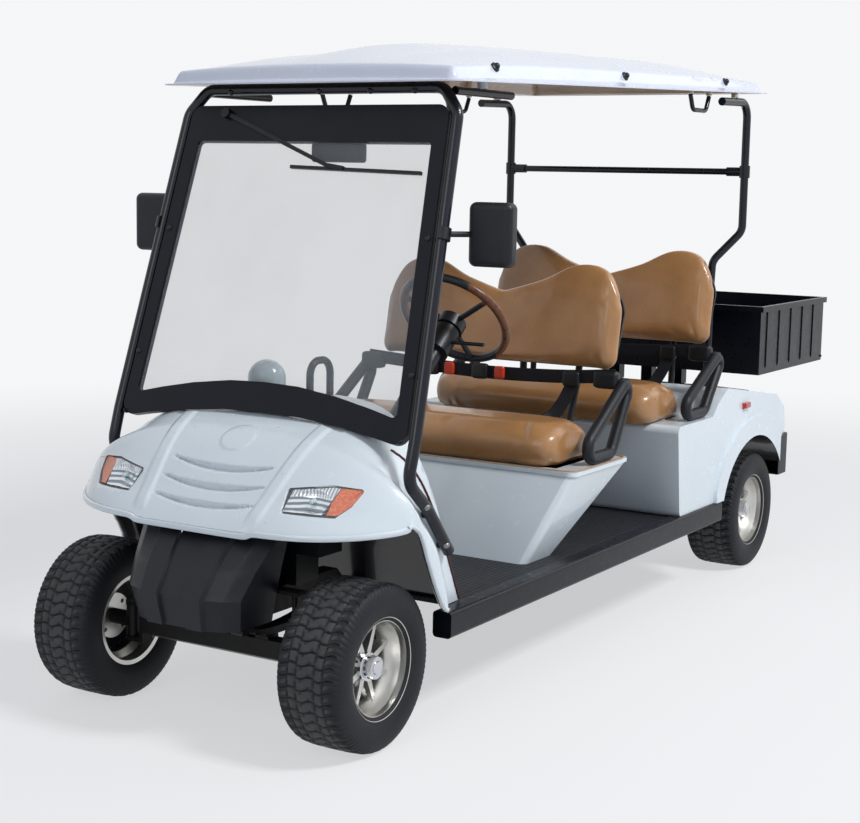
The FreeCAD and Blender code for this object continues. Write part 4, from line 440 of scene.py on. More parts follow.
def finishNode(node, material, sharpAngle=32.0):
    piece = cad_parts[node]
    piece.data.materials.clear()
    piece.data.materials.append(material)
    piece.data.polygons.foreach_set("use_smooth", np.ones(len(piece.data.polygons), bool))
    weld = piece.modifiers.new("weld", "WELD")
    weld.merge_threshold = 0.00002
    split = piece.modifiers.new("split", "EDGE_SPLIT")
    split.split_angle = math.radians(sharpAngle)


for finish, nodes in nodeFinish.items():
    for node in nodes:
        finishNode(node, materials[finish])
print("CAD nodes finished:", sum(len(nodes) for nodes in nodeFinish.values()))


# Shapes: points on a grid or along a path, worked out as whole arrays

# cubic through given points: Catmull-Rom spans at evenly spaced parameters
def curveThrough(points, count):
    points = np.asarray(points, float)
    padded = np.vstack([2 * points[0] - points[1], points, 2 * points[-1] - points[-2]])
    place = np.linspace(0, len(points) - 1, count)
    span = np.minimum(place.astype(int), len(points) - 2)
    t = (place - span)[:, None]
    a, b, c, d = (padded[span + k] for k in range(4))
    bend = (2 * a - 5 * b + 4 * c - d) * t ** 2 + (3 * b - a - 3 * c + d) * t ** 3
    return 0.5 * (2 * b + (c - a) * t + bend)


# quads between neighbouring rows and columns; a closed direction joins its last line to its first
def gridFaces(rows, columns, closedRows=False, closedColumns=False):
    r = np.arange(rows if closedRows else rows - 1)
    c = np.arange(columns if closedColumns else columns - 1)
    i, j = (k.ravel() for k in np.meshgrid(r, c, indexing="ij"))
    i2, j2 = (i + 1) % rows, (j + 1) % columns
    return np.stack([i * columns + j, i2 * columns + j, i2 * columns + j2, i * columns + j2], 1)


# several shapes as one: points stacked, and each shape's faces counted on from the points before it
def joined(shapes):
    starts = np.cumsum([0] + [len(points) for points, faces in shapes])
    return (np.vstack([points for points, faces in shapes]),
            np.vstack([faces + start for (points, faces), start in zip(shapes, starts)]))


# the same shape on the other side of the cart: y changes sign
def mirrored(shape):
    return shape[0] * (1, -1, 1), shape[1]


def unit(vectors):
    return vectors / np.linalg.norm(vectors, axis=-1, keepdims=True)


# three directions square to each other, the last one along the axis
def directions(axis):
    axis = unit(np.asarray(axis, float))
    helper = np.array((0.0, 0.0, 1.0)) if abs(axis[2]) < 0.9 else np.array((1.0, 0.0, 0.0))
    side = unit(np.cross(helper, axis))
    return np.array((side, np.cross(axis, side), axis))


# profile of (radius, height) turned about an axis; radius 0 at both ends closes it
def turned(profile, count, place, axis):
    radius, height = np.asarray(profile, float).T
    angle = np.linspace(0, 2 * math.pi, count, endpoint=False)
    local = np.stack([radius[:, None] * np.cos(angle), radius[:, None] * np.sin(angle),
                      np.repeat(height[:, None], count, 1)], 2)
    points = np.asarray(place) + local.reshape(-1, 3) @ directions(axis)
    return points, gridFaces(len(radius), count, False, True)


# path + across * side + up * over, where side and over are square to the path; end rings close to a point
def swept(path, section, up=(0, 0, 1)):
    ahead = unit(np.gradient(path, axis=0))
    side = unit(np.cross(ahead, up))
    over = np.cross(side, ahead)
    section = np.asarray(section, float)
    rings = path[:, None] + section[None, :, :1] * side[:, None] + section[None, :, 1:] * over[:, None]
    ends = [np.repeat(path[k, None, None], len(section), 1) for k in (0, -1)]
    rings = np.concatenate([ends[0], rings, ends[1]])
    return rings.reshape(-1, 3), gridFaces(len(path) + 2, len(section), False, True)


# sign(value) |value|^(2 / power): squares off a cosine or sine
def rounded(value, power):
    return np.sign(value) * abs(value) ** (2 / power)


# closed superellipse: half width and half height times the squared-off cosine and sine
def ovalSection(halfWidth, halfHeight, power=2.0, count=16):
    angle = np.linspace(0, 2 * math.pi, count, endpoint=False)
    across = halfWidth * rounded(np.cos(angle), power)
    return np.stack([across, halfHeight * rounded(np.sin(angle), power)], 1)


# superellipsoid: rounded block with the given halves
def softBlock(centre, halves, power=5.0, rows=17, columns=32):
    up = np.linspace(-math.pi / 2, math.pi / 2, rows)
    section = ovalSection(1.0, 1.0, power, columns)
    level = np.repeat(rounded(np.sin(up), power)[:, None], columns, 1)
    ring = abs(np.cos(up))[:, None] ** (2 / power)
    local = np.stack([ring * section[:, 0], ring * section[:, 1], level], 2)
    return np.asarray(centre) + local.reshape(-1, 3) * halves, gridFaces(rows, columns, False, True)


# welded, smooth-shaded object that rides on a body, with the node it stands for hidden
def meshPiece(name, shape, material, body, sharp=35.0, replaced=None):
    points, faces = shape
    mesh = bpy.data.meshes.new(name)
    mesh.from_pydata(points.tolist(), [], faces.tolist())
    work = bmesh.new()
    work.from_mesh(mesh)
    bmesh.ops.remove_doubles(work, verts=work.verts, dist=0.000001)
    bmesh.ops.recalc_face_normals(work, faces=work.faces)
    work.to_mesh(mesh)
    work.free()
    mesh.polygons.foreach_set("use_smooth", np.ones(len(mesh.polygons), bool))
    mesh.set_sharp_from_angle(angle=math.radians(sharp))
    mesh.materials.append(material)
    piece = bpy.data.objects.new(name, mesh)
    bpy.context.scene.collection.objects.link(piece)
    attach(piece, body)
    if replaced:
        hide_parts(replaced)
    return piece


def readPoints(mesh):
    values = np.empty(len(mesh.vertices) * 3)
    mesh.vertices.foreach_get("co", values)
    return values.reshape(-1, 3)


def smoothStep(value):
    value = np.clip(value, 0, 1)
    return value * value * (3 - 2 * value)


# search tree of a CAD node's faces
def surfaceTree(node):
    work = bmesh.new()
    work.from_mesh(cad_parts[node].data)
    tree = BVHTree.FromBMesh(work)
    work.free()
    return tree


# given points moved onto the nearest face of a node, with the outward direction there
def onNode(node, points, lift=0.0):
    tree = surfaceTree(node)
    found = [tree.find_nearest(Vector(point))[:2] for point in points]
    places = np.array([place for place, normal in found])
    normals = np.array([normal for place, normal in found])
    return places + normals * lift, normals


# a place from the front axle, in the shared frame
def atRow(x, y, z):
    return (x + axleShift, y, z)


# Tyres: a profile carried round the axle, with the tread cut into its radius

tyreLook = {
    # half width and radius from the bead over the wall and shoulder to the middle of the tread
    "half": ((0.0825, 0.1278), (0.0870, 0.1310), (0.0970, 0.1500), (0.1015, 0.1740), (0.1000, 0.1980),
             (0.0945, 0.2140), (0.0850, 0.2240), (0.0680, 0.2278), (0.0400, 0.2290), (0.0, 0.2294)),
    "across": 92, "around": 592, "pitches": 44,
    "grooves": (-0.056, -0.030, -0.009, 0.009, 0.030, 0.056), "waveHeight": 0.0012,
    "grooveHalf": 0.0021, "grooveDepth": 0.0050, "grooveFlank": 1.6,
    "slotShare": 0.085, "slotDepth": 0.0052, "slotFlank": 1.5, "slotWave": 0.13, "slotLength": 0.060,
    "treadHalf": 0.088, "treadEdge": 0.004,
    "shoulderRadius": 0.200, "shoulderEdge": 0.008, "shoulderDepth": 0.0022, "shoulderShare": 0.16,
    # radius, height and width of the ring by the bead, and where the tread starts to look worn
    "beadRing": (0.1490, 0.0015, 0.0024), "wornRadius": 0.2262, "wornEdge": 0.0022,
}


# radius(w, angle) = profile radius - the deeper of grooves, wavy slots and shoulder slots + ring by the bead
def tyreShape(look, centre):
    half = np.array(look["half"])
    whole = np.vstack([half, half[-2::-1] * (-1, 1)])
    profile = curveThrough(whole, look["across"])
    angle = np.linspace(0, 2 * math.pi, look["around"], endpoint=False)
    w, r = profile.T
    turns = look["pitches"] * angle[:, None] / (2 * math.pi)
    wave = look["waveHeight"] * np.sin(2 * math.pi * turns)
    tread = np.clip((look["treadHalf"] - abs(w)) / look["treadEdge"], 0, 1) * (r > look["shoulderRadius"])
    cut = np.zeros((len(angle), len(w)))
    for groove in look["grooves"]:
        away = abs(w - groove - wave) / look["grooveHalf"]
        cut = np.maximum(cut, np.clip(look["grooveFlank"] - away, 0, 1) * look["grooveDepth"])
    bend = look["slotWave"] * np.sin(2 * math.pi * w / look["slotLength"])
    share = (turns + bend) % 1.0
    slot = np.clip(look["slotFlank"] - abs(share - 0.5) / look["slotShare"], 0, 1) * look["slotDepth"]
    cut = np.maximum(cut, slot) * tread
    outside = abs(w) > look["grooves"][-1]
    shoulder = np.clip((r - look["shoulderRadius"]) / look["shoulderEdge"], 0, 1) * outside
    share = (2 * (turns + bend)) % 1.0
    lug = np.clip(look["slotFlank"] - abs(share - 0.5) / look["shoulderShare"], 0, 1)
    cut = np.maximum(cut, shoulder * look["shoulderDepth"] * lug)
    ring, high, wide = look["beadRing"]
    cut = cut - high * np.exp(-((r - ring) / wide) ** 2)
    radius = r - cut
    points = np.stack([centre[0] + radius * np.sin(angle)[:, None],
                       np.repeat(centre[1] + w[None], len(angle), 0),
                       centre[2] + radius * np.cos(angle)[:, None]], 2)
    return points.reshape(-1, 3), gridFaces(len(angle), len(w), True, True)


wheelTrim = {
    # profiles of (radius, height) along the axle, from the tyre's middle plane or from the nut's seat
    "cap": ((0.0, 0.0815), (0.013, 0.0812), (0.019, 0.0795), (0.0205, 0.0765), (0.0205, 0.0752),
            (0.0275, 0.0745), (0.0306, 0.0725), (0.0314, 0.069), (0.0316, 0.0475), (0.0, 0.0470)),
    # back: dark disc behind the spokes, painted shade for the shaded inside of the wheel
    "back": ((0.0, 0.0090), (0.1090, 0.0090), (0.1112, 0.0078), (0.1112, 0.0050), (0.0, 0.0050)),
    "hubRing": ((0.0, 0.0475), (0.036, 0.0475), (0.0385, 0.046), (0.0387, 0.040), (0.0, 0.0395)),
    "nut": ((0.0, 0.0250), (0.006, 0.0248), (0.0092, 0.0232), (0.0112, 0.0205), (0.0112, 0.0042),
            (0.0, 0.0042)),
    "nutCircle": 0.0508, "nutTurns": (45.0, 135.0, 225.0, 315.0),
    "valve": ((0.0, 0.034), (0.0035, 0.033), (0.004, 0.024), (0.003, 0.022), (0.003, 0.0), (0.0, 0.0)),
    # distance from the axle, start along it, angle round it
    "valvePlace": (0.119, 0.052, 0.4),
}


# each wheel's tread, a dark disc behind its spokes that paints the shade inside the wheel, its cap with four
# nuts, and its valve
def dressWheel(wheel, sign):
    low, high = (np.array(corner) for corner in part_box(f"{wheel}_tyre"))
    centre = (low + high) / 2
    axis = (0, sign, 0)
    body = f"{wheel}_wheel"
    tyre = meshPiece(f"{wheel}_tread_tyre", tyreShape(tyreLook, centre), materials["tyreRubber"], body,
                     40.0, f"{wheel}_tyre")
    points = readPoints(tyre.data)
    reach = np.hypot(points[:, 0] - centre[0], points[:, 2] - centre[2])
    worn = tyre.data.attributes.new("worn", "FLOAT", "POINT")
    worn.data.foreach_set("value", smoothStep((reach - tyreLook["wornRadius"]) / tyreLook["wornEdge"]))
    # dark disc behind the spokes: painted shade inside the wheel
    shadeDisc = turned(wheelTrim["back"], 64, centre, axis)
    meshPiece(f"{wheel}_wheel_shade_disc", shadeDisc, materials["steelBlack"], body)
    shapes = [turned(wheelTrim[part], 40, centre, axis) for part in ("cap", "hubRing")]
    for turn in np.radians(wheelTrim["nutTurns"]):
        place = centre + wheelTrim["nutCircle"] * np.array((math.cos(turn), 0, math.sin(turn)))
        shapes.append(turned(wheelTrim["nut"], 6, place, axis))
    meshPiece(f"{wheel}_wheel_cap", joined(shapes), materials["chrome"], body, 25.0)
    reach, start, turn = wheelTrim["valvePlace"]
    place = centre + np.array((reach * math.cos(turn), sign * start, reach * math.sin(turn)))
    meshPiece(f"{wheel}_valve", turned(wheelTrim["valve"], 10, place, axis), materials["blackPlastic"], body)


for end in ("front", "rear"):
    for side, sign in (("left", 1), ("right", -1)):
        dressWheel(f"{end}_{side}", sign)
print("wheels dressed")


# Seats: closed pillows that swell under cloth pressure, with pleats worked in after it

seatLook = {
    # places from the front axle
    "front": {"rear": -1.398, "nose": -1.050, "low": 0.6045, "backX": -1.461, "backZ": 0.874,
              "hingeX": -1.416},
    "rear": {"rear": -2.122, "nose": -1.775, "low": 0.6565, "backX": -2.268, "backZ": 0.898,
             "hingeX": -2.140},
    "height": 0.124, "half": 0.464, "crown": 0.012, "middleShare": 0.45, "padFill": 0.9,
    "cushionCap": 0.016, "backCap": 0.014, "pressure": 4.0, "frames": 20,
    # depth share from the rear and height share of the cushion's section
    "section": ((0.0, 0.35), (0.02, 0.06), (0.10, 0.0), (0.45, 0.0), (0.80, 0.0), (0.94, 0.08), (1.0, 0.36),
                (0.985, 0.68), (0.90, 0.90), (0.70, 0.99), (0.45, 0.99), (0.24, 0.92), (0.10, 0.75)),
    "across": 84, "around": 56,
    "backHalf": 0.475, "backHeight": 0.358, "backThickness": 0.060, "lean": 0.2, "backCorner": 0.045,
    "backRoundShare": 0.97,
    "humpPlaces": (0.0, 0.32, 0.62, 0.86, 1.0), "humpHeights": (0.735, 0.86, 1.0, 0.93, 0.62),
    "pleatReach": 0.035, "pleatHeight": 0.0022, "pleatsPerMetre": 52.0, "pleatWander": (9.0, 1.3),
    # pleats start this far from the nose or the end, over this distance
    "pleatNose": (0.035, 0.03), "pleatEnd": (0.03, 0.03), "pleatCorner": (0.30, 0.12, 0.35),
    "hinge": ((0.0045, -0.0298), (0.0076, -0.0298), (0.0079, -0.0292), (0.0079, 0.0292), (0.0076, 0.0298),
              (0.0045, 0.0298), (0.0045, -0.0298)),
    "hingePlaces": (-0.33, 0.33), "hingeRise": 0.0071,
}


# shares from -1 to 1 that gather near both ends: sign(s) (1 - (1 - |s|)^2)
def gathered(count):
    s = np.linspace(-1, 1, count)
    return np.sign(s) * (1 - (1 - abs(s)) ** 2)


# closed section stretched between front, rear, low and high lines that change across the cart
def pillow(section, shares, half, rear, front, low, high):
    a, b = np.asarray(section).T
    x = rear[:, None] + (front - rear)[:, None] * a
    z = low[:, None] + (high - low)[:, None] * b
    y = np.repeat((shares * half)[:, None], len(a), 1)
    return np.stack([x, y, z], 2).reshape(-1, 3), gridFaces(len(shares), len(a), False, True)


# cloth pressure swells the closed form with no gravity, and no point moves further than the cap
def inflate(piece, look, cap):
    scene = bpy.context.scene
    start = readPoints(piece.data)
    puff = piece.modifiers.new("puff", "CLOTH")
    puff.settings.quality = 4
    puff.settings.use_pressure = True
    puff.settings.uniform_pressure_force = look["pressure"]
    puff.settings.effector_weights.gravity = 0.0
    for step in range(1, look["frames"] + 1):
        scene.frame_set(step)
    swollen = readPoints(piece.evaluated_get(bpy.context.evaluated_depsgraph_get()).data)
    piece.modifiers.clear()
    scene.frame_set(1)
    shift = swollen - start
    length = np.linalg.norm(shift, axis=1, keepdims=True)
    shift *= np.minimum(1.0, cap / np.maximum(length, 1e-9))
    piece.data.vertices.foreach_set("co", (start + shift).ravel())
    piece.data.update()


# one level of smoothing over a padded piece, which stands for a soft CAD node
def finishPad(piece, node):
    smooth = piece.modifiers.new("smooth", "SUBSURF")
    smooth.levels = 1
    smooth.render_levels = 1
    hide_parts(node)


# pillow whose ends round off as (1 - |share|^8)^(1/8) in height and (1 - |share|^6)^(1/6) at the nose,
# swollen by cloth, then gathered into pleats that fade upwards from the foot
def makeCushion(row, look):
    values = look[row]
    base, height, half = values["low"], look["height"], look["half"]
    shares = gathered(look["across"])
    section = curveThrough(list(look["section"]) + [look["section"][0]], look["around"] + 1)[:-1]
    ends = (1 - abs(shares) ** 8) ** (1 / 8)
    nose = (1 - abs(shares) ** 6) ** (1 / 6)
    middle = base + look["middleShare"] * height
    depth = values["nose"] - values["rear"]
    rear = np.full(len(shares), values["rear"] + axleShift) + 0.5 * depth * (1 - ends)
    front = rear[len(rear) // 2] + depth * (0.5 + 0.5 * nose)
    low = middle + (base - middle) * ends
    high = middle + (base + height - middle) * ends
    shape = pillow(section, shares, half, rear, front, low, high)
    piece = meshPiece(f"{row}_seat_pad", shape, materials["vinylTan"], f"{row}_seat", 180.0)
    inflate(piece, look, look["cushionCap"])
    points = readPoints(piece.data)
    x, y, z = points.T
    foot = np.clip(1 - (z - base) / look["pleatReach"], 0, 1) ** 1.5
    start, over = look["pleatNose"]
    edge = np.clip((x - (values["nose"] + axleShift - start)) / over, 0, 1)
    start, over, least = look["pleatCorner"]
    corner = least + (1 - least) * np.clip((abs(y) - start) / over, 0, 1)
    turn = 2 * math.pi * look["pleatsPerMetre"]
    rate, reach = look["pleatWander"]
    folds = 0.5 + 0.5 * np.sin(turn * y + reach * np.sin(rate * y))
    points[:, 0] -= look["pleatHeight"] * foot * edge * corner * folds
    start, over = look["pleatEnd"]
    side = np.clip((abs(y) - half + start) / over, 0, 1)
    points[:, 1] -= np.sign(y) * look["pleatHeight"] * foot * side * (0.5 + 0.5 * np.sin(turn * x))
    points[:, 2] = np.clip(points[:, 2], base, base + height + look["crown"])
    piece.data.vertices.foreach_set("co", points.ravel())
    finishPad(piece, f"{row}_seat_cushion")
    shapes = []
    for y in look["hingePlaces"]:
        place = (values["hingeX"] + axleShift, y, base + look["hingeRise"])
        shapes.append(turned(look["hinge"], 20, place, (0, 1, 0)))
    meshPiece(f"{row}_seat_hinge_barrels", joined(shapes), materials["steelBare"], f"{row}_seat",
              replaced=f"{row}_seat_cushion")


# pillow with a superellipse section between a rounded lower edge and a humped upper edge, leaning back
def makeBackrest(row, look):
    values = look[row]
    base, corner, thickness = values["backZ"], look["backCorner"], look["backThickness"]
    shares = gathered(look["across"])
    section = ovalSection(0.5, 0.5, 4.0, look["around"]) + 0.5
    place = abs(shares)
    hump = curveThrough(np.stack([look["humpPlaces"], look["humpHeights"]], 1), 60)
    ends = (1 - place ** 7) ** (1 / 14)
    thin = (1 - place ** 10) ** (1 / 3)
    past = np.clip((place * look["backHalf"] - (look["backHalf"] - corner)) / corner, 0, 1)
    low = base + corner * (1 - np.sqrt(1 - past ** 2))
    high = base + look["backHeight"] * np.interp(place, hump[:, 0], hump[:, 1])
    middle = base + look["middleShare"] * look["backHeight"]
    high = np.where(place > look["backRoundShare"], middle + (high - middle) * ends, high)
    front = values["backX"] + axleShift - 0.5 * thickness * (1 - thin)
    rear = front - thickness * thin
    points, faces = pillow(section, shares, look["backHalf"], rear, front, low, high)
    points[:, 0] -= look["lean"] * (points[:, 2] - base)
    piece = meshPiece(f"{row}_back_pad", (points, faces), materials["vinylTan"], "chassis",
                      180.0)
    inflate(piece, look, look["backCap"])
    finishPad(piece, f"{row}_backrest")


for row in ("front", "rear"):
    makeCushion(row, seatLook)
    makeBackrest(row, seatLook)
print("seats padded")


# Cowl: the CAD shell's own surface, cut finer round its middle panel and pressed into relief

cowlLook = {
    "low": (1.30, -0.30, 0.575), "high": (1.76, 0.30, 0.87), "edgeLength": 0.0075, "rounds": 7,
    "outward": (0.75, 0.0, 0.66),
    # half distance and half width of the two raised bands, and how they part with height
    "bandFoot": 0.188, "bandSpread": 0.20, "bandLow": 0.585, "bandHalf": 0.012, "bandSoft": 0.014,
    "bandHeight": 0.006, "bandFade": 0.588, "bandFadeOver": 0.045,
    # end height, sag in the middle, half height
    "louvres": ((0.734, 0.014, 0.0095), (0.688, 0.014, 0.0095), (0.644, 0.012, 0.0085)),
    "louvreHalf": 0.182, "louvreDepth": 0.017, "louvreLeast": 0.0005,
    # how steep a louvre's upper and lower sides are, and how fast it fades at its ends
    "louvreSides": (1.6, 0.7), "louvreEnds": 4,
    "seamX": 1.3975, "seamSpread": 0.17, "seamDrop": 0.006, "seamSoft": 0.004,
    # middle height, half width, half height and soft share of the raised oval
    "badge": (0.789, 0.056, 0.030, 0.1), "badgeRise": 0.003, "fade": 0.03, "sharp": 38,
}


# relief = bands - crescent grooves - drop behind the seam + oval place, outwards from the cowl
def cowlRelief(x, y, z, look):
    band = abs(abs(y) - (look["bandFoot"] + look["bandSpread"] * (z - look["bandLow"])))
    ahead = smoothStep((x - look["seamX"] - look["seamSpread"] * abs(y)) / look["seamSoft"])
    height = look["bandHeight"] * (1 - smoothStep((band - look["bandHalf"]) / look["bandSoft"])) * ahead
    height = height * smoothStep((z - look["bandFade"]) / look["bandFadeOver"])
    bow = np.clip(1 - (y / look["louvreHalf"]) ** 2, 0, 1)
    above, below = look["louvreSides"]
    for end, sag, half in look["louvres"]:
        offset = (z - (end - bow * sag)) / (bow * half + look["louvreLeast"])
        groove = 1 - smoothStep(np.where(offset > 0, above * offset, -below * offset))
        height = height - look["louvreDepth"] * groove * smoothStep(bow * look["louvreEnds"])
    height = height - look["seamDrop"] * (1 - ahead)
    middle, wide, high, soft = look["badge"]
    oval = np.sqrt((y / wide) ** 2 + ((z - middle) / high) ** 2)
    return height + look["badgeRise"] * (1 - smoothStep((oval - 1 + soft) / soft))


# a copy of the CAD cowl, its long edges halved inside the panel's box, moved outwards by relief x fade
def dressCowl(look):
    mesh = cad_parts["front_cowl"].data.copy()
    work = bmesh.new()
    work.from_mesh(mesh)
    bmesh.ops.remove_doubles(work, verts=work.verts, dist=0.00002)
    low, high = Vector(look["low"]), Vector(look["high"])
    for _ in range(look["rounds"]):
        longEdges = []
        for edge in work.edges:
            middle = (edge.verts[0].co + edge.verts[1].co) / 2
            inside = all(low[k] < middle[k] < high[k] for k in range(3))
            if inside and edge.calc_length() > look["edgeLength"]:
                longEdges.append(edge)
        if not longEdges:
            break
        bmesh.ops.subdivide_edges(work, edges=longEdges, cuts=1)
        bmesh.ops.triangulate(work, faces=[face for face in work.faces if len(face.verts) > 3])
    work.to_mesh(mesh)
    work.free()
    points = readPoints(mesh)
    x, y, z = points.T
    inside = np.all((points > look["low"]) & (points < look["high"]), axis=1)
    fade = smoothStep((look["high"][1] - abs(y)) / look["fade"])
    fade = fade * smoothStep((x - look["low"][0]) / look["fade"]) * inside
    height = cowlRelief(x, y, z, look) * fade
    points += height[:, None] * unit(np.array(look["outward"]))
    mesh.vertices.foreach_set("co", points.ravel())
    mesh.materials.clear()
    mesh.materials.append(materials["cowlWhite"])
    mesh.polygons.foreach_set("use_smooth", np.ones(len(mesh.polygons), bool))
    mesh.set_sharp_from_angle(angle=math.radians(look["sharp"]))
    piece = bpy.data.objects.new("cowl_skin", mesh)
    bpy.context.scene.collection.objects.link(piece)
    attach(piece, "chassis")
    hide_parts("front_cowl")


dressCowl(cowlLook)
print("cowl pressed")


# Headlamps: fluted reflector with a bulb and an amber outer end behind the clear cover

lampLook = {
    "inner": 0.255, "outer": 0.453, "low": 0.633, "high": 0.700,
    # across shares and up shares of the lower and upper edges of the outline
    "lowerShares": ((0.04, 0.78, 0.92, 1.0), (0.05, 0.01, 0.42, 0.98)),
    "upperShares": ((-0.03, 0.59, 1.0), (0.84, 1.07, 0.98)),
    # first and last across share of each part, and how far its outer side leans
    "partShares": {"reflector": (0.045, 0.639), "amber": (0.651, 0.975)}, "splitShare": 0.645,
    "leanShare": 0.10, "upShares": (0.04, 0.96), "columns": 90, "rows": 26,
    # middle and half width and height of the bowl, as shares
    "bowlShares": (0.36, 0.46, 0.27, 0.44), "bowlDepth": 0.020, "coverDepth": 0.0045,
    "flutes": 26, "fluteHeight": 0.0012, "fluteFromShare": 0.62, "fluteSoftShare": 0.1,
    "rings": 7, "ringHeight": 0.0008, "prisms": (20.8, 6.5), "prismHeight": 0.0014,
    "backDepths": {"reflector": 0.022, "amber": 0.010}, "bulbBack": 0.001, "ahead": 2.0,
    "bulb": ((0.0, 0.018), (0.004, 0.0172), (0.0062, 0.013), (0.0064, 0.004), (0.009, 0.0), (0.0, 0.0)),
}


# x of a node's front surface at given y and z: a flat patch of the same grid pressed against it along x
def frontX(node, y, z, rows, columns):
    start = lampLook["ahead"]
    mesh = bpy.data.meshes.new("probe")
    points = np.stack([np.full(y.size, start), y.ravel(), z.ravel()], 1)
    mesh.from_pydata(points.tolist(), [], gridFaces(rows, columns).tolist())
    probe = bpy.data.objects.new("probe", mesh)
    bpy.context.scene.collection.objects.link(probe)
    press = probe.modifiers.new("press", "SHRINKWRAP")
    press.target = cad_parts[node]
    press.wrap_method = "PROJECT"
    press.use_project_x = True
    press.use_negative_direction = True
    press.use_positive_direction = False
    found = readPoints(probe.evaluated_get(bpy.context.evaluated_depsgraph_get()).data)[:, 0]
    bpy.data.objects.remove(probe)
    missed = np.isclose(found, start)
    return np.where(missed, np.median(found[~missed]), found).reshape(y.shape)


# closed slab between a front grid and the same grid moved back along x
def slab(front, depth):
    rows, columns = front.shape[:2]
    back = front - np.array((depth, 0.0, 0.0))
    loop = np.concatenate([front, back[:, ::-1]], axis=1)
    middle = (front + back) / 2
    ends = [np.concatenate([middle[k], middle[k][::-1]])[None] for k in (0, -1)]
    whole = np.concatenate([ends[0], loop, ends[1]])
    return whole.reshape(-1, 3), gridFaces(rows + 2, 2 * columns, False, True)


# depth behind the cover = a hollow bowl with rings, and flutes that start above it
def reflectorDepth(look, a, up):
    ca, cb, wide, tall = look["bowlShares"]
    reach = np.sqrt(((a - ca) / wide) ** 2 + ((up - cb) / tall) ** 2)
    depth = look["coverDepth"] + look["bowlDepth"] * np.clip(1 - reach ** 2, 0, 1)
    flutes = 0.5 + 0.5 * np.sin(2 * math.pi * look["flutes"] * a)
    above = np.clip((up - look["fluteFromShare"]) / look["fluteSoftShare"], 0, 1)
    rings = 0.5 + 0.5 * np.sin(2 * math.pi * look["rings"] * up)
    return depth + look["fluteHeight"] * flutes * above + look["ringHeight"] * (reach < 1) * rings


# depth behind the cover = crossed waves, as of small prisms
def amberDepth(look, a, up):
    across, along = (2 * math.pi * count for count in look["prisms"])
    return look["coverDepth"] + look["prismHeight"] * (1 + np.sin(across * a) * np.sin(along * up))


# each lamp: a grid inside its outline, pressed to the cover, set back by the part's depth and closed behind
def makeLamps(look):
    width, height = look["outer"] - look["inner"], look["high"] - look["low"]
    depths = {"reflector": reflectorDepth, "amber": amberDepth}
    shapes = {"reflector": [], "amber": [], "bulb": []}
    tree = surfaceTree("headlamps")
    for sign in (1, -1):
        for part, (first, last) in look["partShares"].items():
            a = np.linspace(first, last, look["columns"])[:, None] + np.zeros(look["rows"])
            b = np.linspace(*look["upShares"], look["rows"])[None, :]
            lean = look["leanShare"] * (b - 0.5) * (a > 0.5 * look["splitShare"])
            a = np.clip(a + lean, first, look["partShares"]["amber"][1])
            low = np.interp(a, *look["lowerShares"])
            up = low + (np.interp(a, *look["upperShares"]) - low) * b
            y = sign * (look["inner"] + width * a)
            z = look["low"] + height * up
            x = frontX("headlamps", y, z, *a.shape) - depths[part](look, a, up)
            shapes[part].append(slab(np.stack([x, y, z], 2), look["backDepths"][part]))
        ca, cb = look["bowlShares"][:2]
        y, z = sign * (look["inner"] + width * ca), look["low"] + height * cb
        hit = tree.ray_cast(Vector((look["ahead"], y, z)), Vector((-1, 0, 0)))[0]
        seat = hit.x - look["coverDepth"] - look["bowlDepth"] - look["bulbBack"]
        shapes["bulb"].append(turned(look["bulb"], 20, (seat, y, z), (1, 0, 0)))
    meshPiece("lamp_reflectors", joined(shapes["reflector"]), materials["reflector"], "chassis", sharp=50.0)
    meshPiece("lamp_ambers", joined(shapes["amber"]), materials["amber"], "chassis", sharp=50.0)
    meshPiece("lamp_bulbs", joined(shapes["bulb"]), materials["domeWhite"], "chassis", sharp=50.0)


makeLamps(lampLook)
print("lamps fitted")


# Trims that lie on the body: rolled lip, arch flange, maroon edge and the tan line round the seat rim

trimLook = {
    # rolled lip round the nose: halves of its section, half width, x and drop at the middle and ends
    "lip": {"halves": (0.0065, 0.0085), "count": 120, "half": 0.558, "turn": 0.985,
            "nose": 0.163, "sweep": 0.223, "sweepPower": 4.5, "z": 0.603, "sag": 0.0225,
            "tuck": 0.010, "tuckAt": (0.56, 0.185, 0.03)},
    # places from the front axle, halves of the section, and lift off the cowl
    "arch": {"halves": (0.006, 0.009), "power": 3.0, "sides": 12, "count": 90, "lift": -0.0015,
             "points": ((-0.060, 0.556, 0.603), (-0.075, 0.557, 0.604), (-0.100, 0.556, 0.592),
                        (-0.128, 0.556, 0.560), (-0.155, 0.556, 0.505), (-0.200, 0.550, 0.420),
                        (-0.242, 0.535, 0.353), (-0.262, 0.520, 0.330))},
    "edge": {"halves": (0.0042, 0.0042), "power": 2.0, "sides": 10, "count": 80, "lift": 0.0,
             "points": ((-0.426, 0.499, 0.330), (-0.380, 0.499, 0.425), (-0.325, 0.499, 0.535),
                        (-0.270, 0.500, 0.640), (-0.215, 0.504, 0.748), (-0.172, 0.510, 0.838),
                        (-0.156, 0.505, 0.872))},
}


# a rounded strip along listed points laid onto the cowl, on both sides of the cart
def cowlStrips(values):
    chosen = [atRow(*point) for point in values["points"]]
    places, normals = onNode("front_cowl", curveThrough(chosen, values["count"]), values["lift"])
    side = swept(places, ovalSection(*values["halves"], values["power"], values["sides"]), (0, 1, 0))
    return [side, mirrored(side)]


